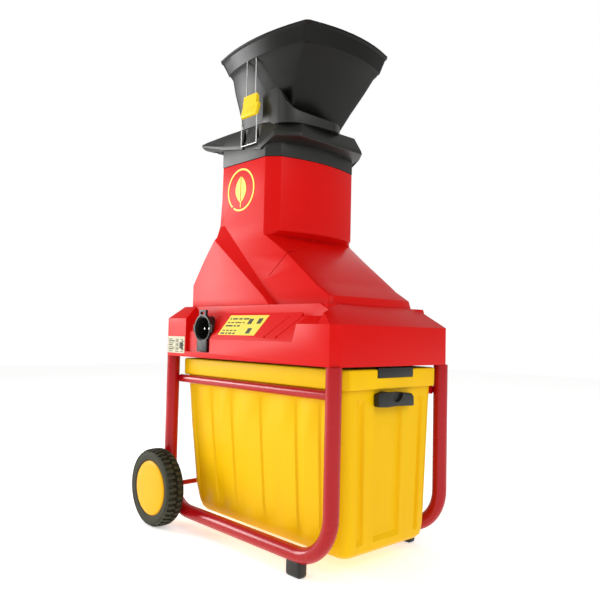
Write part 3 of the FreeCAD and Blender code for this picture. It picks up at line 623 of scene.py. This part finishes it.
# Badge: a printed yellow ring on the tower's left side with a plain leaf inside it, a film about half a
# millimetre thick. Printed film: flat strong yellow with a soft even sheen.
film_yellow, tree, shader = new_material("printed_yellow_film", "#f6cf08", 0.4)
place = add_node(tree, "ShaderNodeTexCoord")
ink = add_node(tree, "ShaderNodeTexNoise", {"Scale": 90.0, "Detail": 5.0}, Vector=place.outputs["Object"])
tint = add_node(tree, "ShaderNodeMix", {"data_type": "RGBA", 6: linear("#f2ca06"), 7: linear("#f9d60c")},
                _0=ink.outputs["Fac"])
satin = add_node(tree, "ShaderNodeMapRange", {"To Min": 0.34, "To Max": 0.48}, Value=ink.outputs["Fac"])
dots = add_node(tree, "ShaderNodeBump", {"Strength": 0.1, "Distance": 0.0002}, Height=ink.outputs["Fac"])
feed(shader, Base_Color=tint.outputs[2], Roughness=satin.outputs["Result"], Normal=dots.outputs["Normal"])

badge_low, badge_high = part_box("badge_ring")
badge_middle = (badge_low + badge_high) / 2
deselect()
bpy.ops.mesh.primitive_circle_add(vertices=72, radius=51 * MM, fill_type="NGON", location=badge_middle,
                                  rotation=(0, -math.pi / 2, 0))
badge = settle()
edit(badge)
bpy.ops.mesh.select_mode(type="FACE")
bpy.ops.mesh.select_all(action="SELECT")
bpy.ops.mesh.inset(thickness=4.5 * MM)
bpy.ops.mesh.delete(type="FACE")
done()
apply_modifier(badge, "SOLIDIFY", thickness=1.4 * MM, offset=0)
leaf_parts = []
for side in (-1, 1):
    halves = []
    for step in range(13):
        along = step / 12
        halves.append((badge_middle.y / MM - MID_Y / MM + side * 1.4 + side * 19 * math.sin(math.pi * along) ** 0.8,
                       badge_middle.z / MM - 30 + 62 * along))
    stem = [(badge_middle.y / MM - MID_Y / MM + side * 1.4, badge_middle.z / MM + 32 - 62 * step / 12)
            for step in range(1, 12)]
    outline = halves + stem
    leaf_x = badge_middle.x / MM
    leaf_parts.append(stack("leaf_half", [[(leaf_x + x, y, z) for y, z in outline] for x in (-0.7, 0.7)]))
leaf_parts.append(block("leaf_stalk", (leaf_x - 0.7, 63.7 - 1.4, 775), (leaf_x + 0.7, 63.7 + 1.4, 790)))
merge(leaf_parts + [badge], "badge")
finish(badge, film_yellow, "chassis", "lever_yellow", "badge_ring")


# Collar: black moulding between tower and hopper. A band sits on the tower, a sloping roof overhangs it, the roof
# runs out at the rear as a carrying grip, and an apron with two posts stands round the funnel's foot.
def collar_ring(front, corner, side_front, side_rear, rear_side, rear):
    """Ring from six corners of the right half, mirrored to the left."""
    right = [front, corner, side_front, side_rear, rear_side, rear]
    return right + [(-x, y, z) for x, y, z in reversed(right)]


band_front = [(117 * (step / 4 - 1), -71 + 19 * (step / 4 - 1) ** 2) for step in range(9)]
band_side = [(142, -24), (142, 137), (130, 149)]
band_outline = band_front + band_side + [(-x, y) for x, y in reversed(band_side)]
collar_band = stack("collar_band", [[(x * 1.006, y * 1.006, z) for x, y in band_outline] for z in (882, 930)])
round_edges(collar_band, 1.5, 2, 20)
roof = stack("collar_roof", [
    collar_ring((100, -94, 921), (139, -54, 923), (141, -9, 905), (141, 131, 928), (139, 222, 944), (128, 234, 946)),
    collar_ring((104, -98, 922), (143, -54, 924), (147, -9, 899), (147, 131, 924), (147, 226, 950), (134, 240, 952)),
    collar_ring((100, -98, 930), (143, -53, 936), (147, -9, 912), (147, 131, 934), (147, 228, 956), (134, 241, 957)),
    collar_ring((88, -86, 961), (118, -50, 963), (138, -9, 964), (139, 131, 964), (138, 214, 963), (126, 226, 963))])
round_edges(roof, 1.8, 2, 20)
apply_modifier(roof, "TRIANGULATE")
hand_space = stack("hand_space", [
    [(x, y, z) for x, y in ((-118, 160), (118, 160), (118, 216), (-118, 216))] for z in (935, 953)])
combine(roof, hand_space, "DIFFERENCE")
for knuckle in range(7):
    deselect()
    bpy.ops.mesh.primitive_cylinder_add(vertices=20, radius=8.7 * MM, depth=34 * MM, rotation=(math.pi / 2, 0, 0),
                                        location=spot(-96 + knuckle * 32, 232.3, 940.4))
    combine(roof, settle(), "DIFFERENCE")
for leg in (3, 51):
    combine(roof, block("latch_slot", (-152, leg - 6, 906), (-139, leg + 6, 960)), "DIFFERENCE")
combine(roof, block("latch_slot", (-152, -3.5, 905.5), (-141.2, 57.5, 918)), "DIFFERENCE")

APRON = [(-130, 6, 1032), (-131, -6, 1040), (-131, -48, 1040), (-129, -58, 1030), (-124, -68, 1004), (-112, -80, 988),
         (-98, -88, 983), (-50, -100, 977), (0, -106, 974), (18, -98, 976), (36, -84, 978), (56, -64, 980),
         (74, -48, 984), (97, -24, 992), (101, -6, 996), (102, 2, 996), (102, 6, 995)]
outer_low = [(x, y, 955) for x, y, z in APRON]
inner_edge = [(x * 0.9, y * 0.86, z) for x, y, z in reversed(APRON)]
apron = stack("collar_apron", [outer_low + [(x, y, 955) for x, y, z in inner_edge], APRON + inner_edge])
round_edges(apron, 2, 3, 30)
for part in (roof, collar_band):
    combine(part, stack("throat", [octagon(z, 88, -36, 132, 10, 10, 10) for z in (870, 980)]), "DIFFERENCE")
merge([collar_band, apron, roof], "hopper_collar")
finish(roof, black_plastic, "chassis", "black_plastic", "collar", angle=24)


# Hopper: a black moulded funnel with swelled sides, a stepped bead and a wide rim band with a rolled edge. Its
# spigot sits in the collar's throat, and it lifts off when the latch is open.
# Smooth black polyethylene: near black with a wide soft sheen that follows the curved walls.
hopper_black, tree, shader = new_material("smooth_black_polyethylene", "#080806", 0.36)
shader.inputs["IOR"].default_value = 1.5
shader.inputs["Specular IOR Level"].default_value = 0.22
place = add_node(tree, "ShaderNodeTexCoord")
cloud = add_node(tree, "ShaderNodeTexNoise", {"Scale": 8.0, "Detail": 4.0}, Vector=place.outputs["Object"])
tint = add_node(tree, "ShaderNodeMix", {"data_type": "RGBA", 6: linear("#070705"), 7: linear("#0d0d0a")},
                _0=cloud.outputs["Fac"])
sheen = add_node(tree, "ShaderNodeMapRange", {"To Min": 0.28, "To Max": 0.42}, Value=cloud.outputs["Fac"])
grain = add_node(tree, "ShaderNodeTexNoise", {"Scale": 420.0, "Detail": 3.0}, Vector=place.outputs["Object"])
pores = add_node(tree, "ShaderNodeBump", {"Strength": 0.2, "Distance": 0.0003}, Height=grain.outputs["Fac"])
feed(shader, Base_Color=tint.outputs[2], Roughness=sheen.outputs["Result"], Normal=pores.outputs["Normal"])


def swelled_ring(z, half_x, front, rear, swell, corner):
    """Level outline whose sides bow outwards by swell and whose corners are arcs."""
    flat_x, flat_front, flat_rear = half_x - swell, front + swell, rear - swell
    ring = []
    corners = [(flat_x, flat_front, -90), (flat_x, flat_rear, 0), (-flat_x, flat_rear, 90), (-flat_x, flat_front, 180)]
    for index, (x, y, start) in enumerate(corners):
        middle_x = x - math.copysign(corner, x)
        middle_y = y + (corner if index in (0, 3) else -corner)
        arc = [(middle_x + corner * math.cos(math.radians(start + turn)),
                middle_y + corner * math.sin(math.radians(start + turn))) for turn in (0, 30, 60, 90)]
        ring += arc
        next_x, next_y, next_start = corners[(index + 1) % 4]
        end_x = next_x - math.copysign(corner, next_x)
        end_y = next_y + (corner if (index + 1) % 4 in (0, 3) else -corner)
        goal_turn = math.radians(next_start)
        goal = (end_x + corner * math.cos(goal_turn), end_y + corner * math.sin(goal_turn))
        out_x, out_y = ((1, 0), (0, 1), (-1, 0), (0, -1))[index]
        for step in range(1, 9):
            share = step / 9
            bulge = swell * 4 * share * (1 - share)
            ring.append((arc[-1][0] + (goal[0] - arc[-1][0]) * share + out_x * bulge,
                         arc[-1][1] + (goal[1] - arc[-1][1]) * share + out_y * bulge))
    return [(x, y, z) for x, y in ring]


hopper = stack("feed_hopper", [
    swelled_ring(900, 86, -34, 130, 0.5, 10), swelled_ring(966, 86, -34, 130, 0.5, 10),
    swelled_ring(968, 90, -39, 135, 0.5, 11), swelled_ring(990, 92, -41, 137, 1, 11),
    swelled_ring(1030, 107, -76, 147, 7, 12), swelled_ring(1075, 126, -112, 155, 12, 13),
    swelled_ring(1108, 139, -140, 161, 17, 14), swelled_ring(1114, 144, -149, 166, 19, 14),
    swelled_ring(1118, 146, -151, 168, 19, 14), swelled_ring(1121, 149.5, -155, 172, 19, 15),
    swelled_ring(1140, 153.5, -162, 182, 19, 16), swelled_ring(1153, 156.5, -167, 190, 19, 17),
    swelled_ring(1156, 159.5, -171, 194, 19, 19), swelled_ring(1160, 160, -172, 195, 19, 19)])
for face in hopper.data.polygons:
    face.select = abs(face.normal.z) > 0.99 and len(face.vertices) > 8
edit(hopper)
bpy.ops.mesh.select_mode(type="FACE")
bpy.ops.mesh.delete(type="FACE")
done()
apply_modifier(hopper, "SOLIDIFY", thickness=3 * MM, offset=-1, use_even_offset=True)
finish(hopper, hopper_black, "hopper", "hopper_black", "hopper", angle=30)


# Hopper latch: a bright wire loop from the rim band, a yellow over-centre lever, and a lower wire that hooks into
# the collar. The lever is moulded nylon with a turned-up lip to pull on.
LEVER_Y = 29
lever = long_prism("latch_pull", [(-157, 984), (-148, 982), (-141, 1004), (-140.5, 1031), (-148, 1037), (-151, 1010)],
                   LEVER_Y - 30, LEVER_Y + 26)
round_edges(lever, 1.6, 3, 25)
step_cut = block("step", (-170, LEVER_Y - 31, 1012), (-130, LEVER_Y - 23, 1045))
combine(lever, step_cut, "DIFFERENCE")
ridges = []
for step in range(3):
    out, up = step * 1.1, step * 6
    ridge = block(f"ridge_{step}", (-157.2 + out, LEVER_Y - 20, 989 + up), (-153 + out, LEVER_Y + 18, 991 + up))
    round_edges(ridge, 0.7, 1, 40)
    ridges.append(ridge)
merge(ridges + [lever], "latch_pull")
finish(lever, film_yellow, "lever", "lever_yellow", "latch_lever", angle=30)


# Mains inlet: a black moulded socket set in the cover's left pocket. It has an oval flange round a deep round
# well with two pins in it, a cable loop on top and a strain tongue below.
INLET_Y, INLET_Z = 139, 487
deselect()
bpy.ops.mesh.primitive_cylinder_add(vertices=48, radius=33 * MM, depth=9 * MM, location=spot(-185.5, INLET_Y, INLET_Z),
                                    rotation=(0, math.pi / 2, 0))
flange = settle()
combine(flange, block("ear", (-189, INLET_Y - 38, INLET_Z - 9), (-182, INLET_Y + 38, INLET_Z + 9)), "UNION")
combine(flange, block("cable_loop", (-190, INLET_Y - 13, 512), (-183, INLET_Y + 13, 531)), "UNION")
combine(flange, block("loop_hole", (-195, INLET_Y - 8, 520), (-178, INLET_Y + 8, 526)), "DIFFERENCE")
tongue = stack("tongue", [[(x, INLET_Y + y, z) for x, y in ((-190, -half), (-183, -half), (-183, half), (-190, half))]
                          for z, half in ((432, 18), (436, 20), (456, 20), (470, 14))])
combine(flange, tongue, "UNION")
round_edges(flange, 1.4, 2, 30)
for radius, depth in ((27, 30), (29.5, 3)):
    deselect()
    bpy.ops.mesh.primitive_cylinder_add(vertices=40, radius=radius * MM, depth=2 * depth * MM,
                                        location=spot(-190, INLET_Y, INLET_Z), rotation=(0, math.pi / 2, 0))
    combine(flange, settle(), "DIFFERENCE")
deselect()
bpy.ops.mesh.primitive_cylinder_add(vertices=40, radius=29 * MM, depth=34 * MM, location=spot(-167, INLET_Y, INLET_Z),
                                    rotation=(0, math.pi / 2, 0))
well = settle()
for face in well.data.polygons:
    face.select = face.normal.x < -0.9
edit(well)
bpy.ops.mesh.select_mode(type="FACE")
bpy.ops.mesh.inset(thickness=2.5 * MM)
bpy.ops.mesh.extrude_region_move(TRANSFORM_OT_translate={"value": (29 * MM, 0, 0)})
done()
merge([well, flange], "mains_inlet")
finish(flange, black_plastic, "chassis", "black_plastic", "inlet_housing", angle=30)


# Labels: a yellow film with rows of plain pictogram shapes on the left slope, and a cream film with ruled rows on
# the rear block. The marks are generic bars, rings and boxes printed in dark ink; they say nothing.
label_yellow, tree, shader = new_material("yellow_label_film", "#e8d43c", 0.42)
place = add_node(tree, "ShaderNodeTexCoord")
ink = add_node(tree, "ShaderNodeTexNoise", {"Scale": 70.0, "Detail": 5.0}, Vector=place.outputs["Object"])
tint = add_node(tree, "ShaderNodeMix", {"data_type": "RGBA", 6: linear("#dfca30"), 7: linear("#efdc48")},
                _0=ink.outputs["Fac"])
satin = add_node(tree, "ShaderNodeMapRange", {"To Min": 0.36, "To Max": 0.5}, Value=ink.outputs["Fac"])
film = add_node(tree, "ShaderNodeBump", {"Strength": 0.1, "Distance": 0.0002}, Height=ink.outputs["Fac"])
feed(shader, Base_Color=tint.outputs[2], Roughness=satin.outputs["Result"], Normal=film.outputs["Normal"])

label_cream, tree, shader = new_material("cream_label_film", "#c9c3a4", 0.5)
place = add_node(tree, "ShaderNodeTexCoord")
paper_grain = add_node(tree, "ShaderNodeTexNoise", {"Scale": 110.0, "Detail": 5.0}, Vector=place.outputs["Object"])
tint = add_node(tree, "ShaderNodeMix", {"data_type": "RGBA", 6: linear("#bdb796"), 7: linear("#d3cdb0")},
                _0=paper_grain.outputs["Fac"])
satin = add_node(tree, "ShaderNodeMapRange", {"To Min": 0.45, "To Max": 0.6}, Value=paper_grain.outputs["Fac"])
film = add_node(tree, "ShaderNodeBump", {"Strength": 0.15, "Distance": 0.0002}, Height=paper_grain.outputs["Fac"])
feed(shader, Base_Color=tint.outputs[2], Roughness=satin.outputs["Result"], Normal=film.outputs["Normal"])

label_ink, tree, shader = new_material("dark_printing_ink", "#2c2a18", 0.5)
place = add_node(tree, "ShaderNodeTexCoord")
worn = add_node(tree, "ShaderNodeTexNoise", {"Scale": 160.0, "Detail": 6.0}, Vector=place.outputs["Object"])
tint = add_node(tree, "ShaderNodeMix", {"data_type": "RGBA", 6: linear("#1d1c12"), 7: linear("#4a4628")},
                _0=worn.outputs["Fac"])
dull = add_node(tree, "ShaderNodeMapRange", {"To Min": 0.45, "To Max": 0.65}, Value=worn.outputs["Fac"])
feed(shader, Base_Color=tint.outputs[2], Roughness=dull.outputs["Result"])

SLOPE_OUT = Vector((-62, 0, 30)).normalized()


def on_slope(y, z, lift):
    """A point on the left slope at a height, lifted off it, in millimetres."""
    x = -190 + (z - 462) * 30 / 62
    return (x + SLOPE_OUT.x * lift, y, z + SLOPE_OUT.z * lift)


corners = [(60, 518), (-78, 518), (-52, 473), (81, 473)]
label = stack("panel_label_film", [[on_slope(y, z, lift) for y, z in corners] for lift in (0.05, 0.7)])
finish(label, label_yellow, "chassis", "label_yellow", "panel_label")


def label_mark(name, y, z, width, height, lean):
    """A bar on the left slope, its upper edge shifted along by lean."""
    outline = [(y, z), (y - width, z), (y - width - lean, z + height), (y - lean, z + height)]
    return stack(name, [[on_slope(a, b, lift) for a, b in outline] for lift in (0.6, 0.95)])


marks = []
for row, (z, cells) in enumerate(((512, (5, 18, 12, 20)), (504, (8, 10, 22, 6)), (496, (26, 7, 9)), (486, (9, 9, 9, 9)),
                                  (479, (14, 6, 10, 8)))):
    along = 58 + (518 - z) * 0.47
    for cell in cells:
        marks.append(label_mark("mark", along - 4, z - 4, cell, 2.4 if row % 2 else 3.4, 1))
        along -= cell + 5
for middle_y, middle_z in ((-20, 504), (-52, 505), (-26, 483)):
    marks.append(label_mark("box", middle_y + 8, middle_z - 6, 14, 12, 5))
merge(marks, "panel_label_print")
finish(marks[-1], label_ink, "chassis", "label_yellow")

plate = block("rating_label_film", (-190.7, 212, 425), (-189.6, 288, 466))
finish(plate, label_cream, "chassis", "label_cream", "rating_label")
rows = []
for row in range(7):
    z = 428 + row * 5
    for start, width in ((284, 18 + row % 3 * 5), (252, 14), (230 - row % 2 * 4, 11)):
        rows.append(block("row", (-190.95, start - width, z), (-190.6, start, z + 1.8 + row % 2)))
rows.append(block("row", (-190.95, 218, 436), (-190.6, 234, 452)))
merge(rows, "rating_label_print")
finish(rows[-1], label_ink, "chassis", "label_cream")


# Collecting bin: a tapering blow-moulded polyethylene box in golden yellow, with shallow upright ribs, a deep
# square rim that rides on the rails, a hanging black pull and a black lock slide in the rim's front.
# Moulded polyethylene: strong golden yellow, softly glossy, a little waxy and clouded along its ribs.
bin_yellow, tree, shader = new_material("moulded_yellow_polyethylene", "#f0bd00", 0.4)
shader.inputs["IOR"].default_value = 1.5
shader.inputs["Specular IOR Level"].default_value = 0.12
place = add_node(tree, "ShaderNodeTexCoord")
streaks = add_node(tree, "ShaderNodeMapping", {"Scale": (1.0, 1.0, 0.12)}, Vector=place.outputs["Object"])
cloud = add_node(tree, "ShaderNodeTexNoise", {"Scale": 26.0, "Detail": 4.0}, Vector=streaks.outputs["Vector"])
tint = add_node(tree, "ShaderNodeMix", {"data_type": "RGBA", 6: linear("#eab600"), 7: linear("#f5c400")},
                _0=cloud.outputs["Fac"])
waxy = add_node(tree, "ShaderNodeMapRange", {"To Min": 0.33, "To Max": 0.5}, Value=cloud.outputs["Fac"])
skin = add_node(tree, "ShaderNodeTexNoise", {"Scale": 380.0, "Detail": 3.0}, Vector=place.outputs["Object"])
dimples = add_node(tree, "ShaderNodeBump", {"Strength": 0.12, "Distance": 0.0004}, Height=skin.outputs["Fac"])
feed(shader, Base_Color=tint.outputs[2], Roughness=waxy.outputs["Result"], Normal=dimples.outputs["Normal"])

SIDE_RIBS = [(245, 209), (175, 141), (105, 66), (10, -43), (-93, -118), (-156, -180)]
FRONT_RIBS = [(-106, -84), (-51, 39), (94, 110)]


def bin_ring(z, half_x, front, rear, corner, rib):
    """Level outline with arcs at its corners and flutes of one depth along its sides and front."""
    ring = []
    for step in range(5):
        turn = math.radians(-90 + step * 22.5)
        ring.append((half_x - corner + corner * math.cos(turn), front + corner + corner * math.sin(turn)))
    for low, high in reversed(SIDE_RIBS):
        for y, deep in ((high, 0), (high + 4, 1), (low - 4, 1), (low, 0)):
            ring.append((half_x - rib * deep, front + 24 + (y + 197) / 442 * (rear - front - 48)))
    for step in range(5):
        turn = math.radians(step * 22.5)
        ring.append((half_x - corner + corner * math.cos(turn), rear - corner + corner * math.sin(turn)))
    left = [(-x, y) for x, y in reversed(ring)]
    front_side = []
    for low, high in FRONT_RIBS:
        for x, deep in ((low, 0), (low + 4, 1), (high - 4, 1), (high, 0)):
            front_side.append((x * half_x / 146, front + 1.9 * rib * deep))
    return [(x, y, z) for x, y in ring + left + front_side]


bin_body = stack("collecting_bin", [
    bin_ring(38, 112, -262, 200, 14, 0), bin_ring(40, 120, -270, 210, 18, 0), bin_ring(48, 127, -277, 218, 20, 0),
    bin_ring(62, 131, -279.5, 226, 22, 0), bin_ring(72, 132.5, -280, 229, 22, 3.0),
    bin_ring(105, 134.5, -280.5, 240, 22, 3.4),
    bin_ring(250, 141, -282.5, 259, 22, 3.4), bin_ring(338, 144.5, -284, 267, 22, 3.2),
    bin_ring(350, 145, -284.5, 268.5, 22, 0), bin_ring(371, 146, -285, 270, 22, 0),
    bin_ring(410, 146.5, -285.5, 271, 22, 0)])
for face in bin_body.data.polygons:
    face.select = face.normal.z > 0.99 and face.center.z > 0.4
edit(bin_body)
bpy.ops.mesh.select_mode(type="FACE")
bpy.ops.mesh.delete(type="FACE")
done()
apply_modifier(bin_body, "SOLIDIFY", thickness=2.6 * MM, offset=-1)
rim = stack("bin_rim", [octagon(z, half_x, front, rear, 20, 20, 20) for z, half_x, front, rear in
                        ((370.5, 156.5, -294.5, 280.5), (411, 157, -295, 281))])
round_edges(rim, 4, 4, 20)
combine(rim, stack("rim_channel", [octagon(z, 153.5, -291.5, 277.5, 20, 20, 20) for z in (366, 407)]), "DIFFERENCE")
combine(rim, stack("rim_mouth", [octagon(z, 145, -284, 269.5, 20, 20, 20) for z in (400, 416)]), "DIFFERENCE")
combine(rim, block("lock_notch", (-57.5, -300, 392.8), (57.5, -286.2, 420)), "DIFFERENCE")
merge([rim, bin_body], "collecting_bin")
finish(bin_body, bin_yellow, "bin", "bin_yellow", "bin_shell", angle=26)

# The pull: a black moulding screwed under the rim, open below for the fingers, with a half-round boss.
pull = stack("bin_pull", [[(x, y, z) for x, z in ((-58, 361), (-57, 335), (-30, 333), (0, 334), (30, 333), (58, 332),
                                                 (57, 352), (50, 359), (12, 363), (-12, 363), (-37, 366))]
                          for y in (-300.5, -284.8)])
round_edges(pull, 3, 3, 30)
combine(pull, block("finger_gap", (-46, -297, 325), (-18, -286, 356)), "DIFFERENCE")
combine(pull, block("finger_gap", (18, -297, 325), (46, -286, 354)), "DIFFERENCE")
deselect()
bpy.ops.mesh.primitive_cylinder_add(vertices=36, radius=19 * MM, depth=8 * MM, location=spot(0, -298.5, 362),
                                    rotation=(math.pi / 2, 0, 0))
scoop = settle()
combine(pull, scoop, "DIFFERENCE")
finish(pull, black_plastic, "bin", "black_plastic", "bin_handle", angle=30)

lock = block("bin_lock_slide", (-57, -297.5, 393.3), (57, -287.3, 414.5))
round_edges(lock, 2, 3, 30)
lock_stem = block("lock_stem", (-35, -291.7, 372), (35, -287.3, 395))
merge([lock_stem, lock], "bin_lock_slide")
finish(lock, black_plastic, "lock", "black_plastic", "bin_lock", angle=30)


# Pieces kept as they are: plugs, bolts, plates, gears, shafts, motor, chute and controls, each in the finish that
# such a part has. Zinc-plated and ground steel: bright neutral metal with fine drawn streaks.
steel, tree, shader = new_material("bright_zinc_plated_steel", "#b9bab8", 0.3)
shader.inputs["Metallic"].default_value = 1.0
place = add_node(tree, "ShaderNodeTexCoord")
drawn = add_node(tree, "ShaderNodeMapping", {"Scale": (40.0, 400.0, 400.0)}, Vector=place.outputs["Object"])
streaks = add_node(tree, "ShaderNodeTexNoise", {"Scale": 1.0, "Detail": 4.0}, Vector=drawn.outputs["Vector"])
bright_steel = add_node(tree, "ShaderNodeMapRange", {"To Min": 0.22, "To Max": 0.42}, Value=streaks.outputs["Fac"])
tint = add_node(tree, "ShaderNodeMix", {"data_type": "RGBA", 6: linear("#a9aaa8"), 7: linear("#c6c7c4")},
                _0=streaks.outputs["Fac"])
lines = add_node(tree, "ShaderNodeBump", {"Strength": 0.15, "Distance": 0.0001}, Height=streaks.outputs["Fac"])
feed(shader, Base_Color=tint.outputs[2], Roughness=bright_steel.outputs["Result"], Normal=lines.outputs["Normal"])

# Die-cast aluminium: pale grey, matt and slightly pebbled.
cast_metal, tree, shader = new_material("die_cast_aluminium", "#9a9c9d", 0.5)
shader.inputs["Metallic"].default_value = 1.0
place = add_node(tree, "ShaderNodeTexCoord")
pebble = add_node(tree, "ShaderNodeTexVoronoi", {"Scale": 300.0}, Vector=place.outputs["Object"])
casting = add_node(tree, "ShaderNodeBump", {"Strength": 0.3, "Distance": 0.0003}, Height=pebble.outputs["Distance"])
matt = add_node(tree, "ShaderNodeMapRange", {"To Min": 0.42, "To Max": 0.62}, Value=pebble.outputs["Distance"])
feed(shader, Roughness=matt.outputs["Result"], Normal=casting.outputs["Normal"])

# Motor enamel: black stoved paint, smooth with a soft gloss.
motor_paint, tree, shader = new_material("black_stoved_enamel", "#26292b", 0.35)
place = add_node(tree, "ShaderNodeTexCoord")
cloud = add_node(tree, "ShaderNodeTexNoise", {"Scale": 30.0, "Detail": 3.0}, Vector=place.outputs["Object"])
soft = add_node(tree, "ShaderNodeMapRange", {"To Min": 0.28, "To Max": 0.45}, Value=cloud.outputs["Fac"])
feed(shader, Roughness=soft.outputs["Result"])

# Enamelled copper wire and sintered bronze: warm brown metal, banded by the turns of the winding.
copper, tree, shader = new_material("enamelled_copper_wire", "#b5652c", 0.35)
shader.inputs["Metallic"].default_value = 1.0
place = add_node(tree, "ShaderNodeTexCoord")
turns = add_node(tree, "ShaderNodeTexWave", {"Scale": 120.0, "Distortion": 1.0}, Vector=place.outputs["Object"])
wires = add_node(tree, "ShaderNodeBump", {"Strength": 0.4, "Distance": 0.0005}, Height=turns.outputs["Fac"])
lacquer = add_node(tree, "ShaderNodeMapRange", {"To Min": 0.28, "To Max": 0.46}, Value=turns.outputs["Fac"])
feed(shader, Roughness=lacquer.outputs["Result"], Normal=wires.outputs["Normal"])

# Push buttons: glossy dyed ABS in green and red, lightly clouded.
buttons = {}
for slot_name, colour, deeper in (("button_green", "#1d8a3a", "#187531"), ("button_red", "#c5141b", "#ad1016")):
    dyed, tree, shader = new_material(f"dyed_abs_{slot_name[7:]}", colour, 0.3)
    place = add_node(tree, "ShaderNodeTexCoord")
    cloud = add_node(tree, "ShaderNodeTexNoise", {"Scale": 60.0, "Detail": 3.0}, Vector=place.outputs["Object"])
    tint = add_node(tree, "ShaderNodeMix", {"data_type": "RGBA", 6: linear(deeper), 7: linear(colour)},
                    _0=cloud.outputs["Fac"])
    gloss = add_node(tree, "ShaderNodeMapRange", {"To Min": 0.24, "To Max": 0.36}, Value=cloud.outputs["Fac"])
    feed(shader, Base_Color=tint.outputs[2], Roughness=gloss.outputs["Result"])
    buttons[slot_name] = dyed

finishes = {
    "frame_paint": frame_paint, "steel": steel, "cast_metal": cast_metal, "motor_paint": motor_paint,
    "copper": copper, "cover_red": cover_red, "black_plastic": black_plastic, "hopper_black": hopper_black,
    "bin_yellow": bin_yellow, "lever_yellow": film_yellow, "cap_yellow": cap_yellow, "tyre_rubber": tyre_rubber,
    "label_yellow": label_yellow, "label_cream": label_cream, "chute_plastic": black_plastic, **buttons,
}
for part in frame["record"]["subparts"]:
    node = nodes[part["node"]]
    node.data.materials.clear()
    node.data.materials.append(finishes[part["material_slot"]])

low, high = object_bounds()
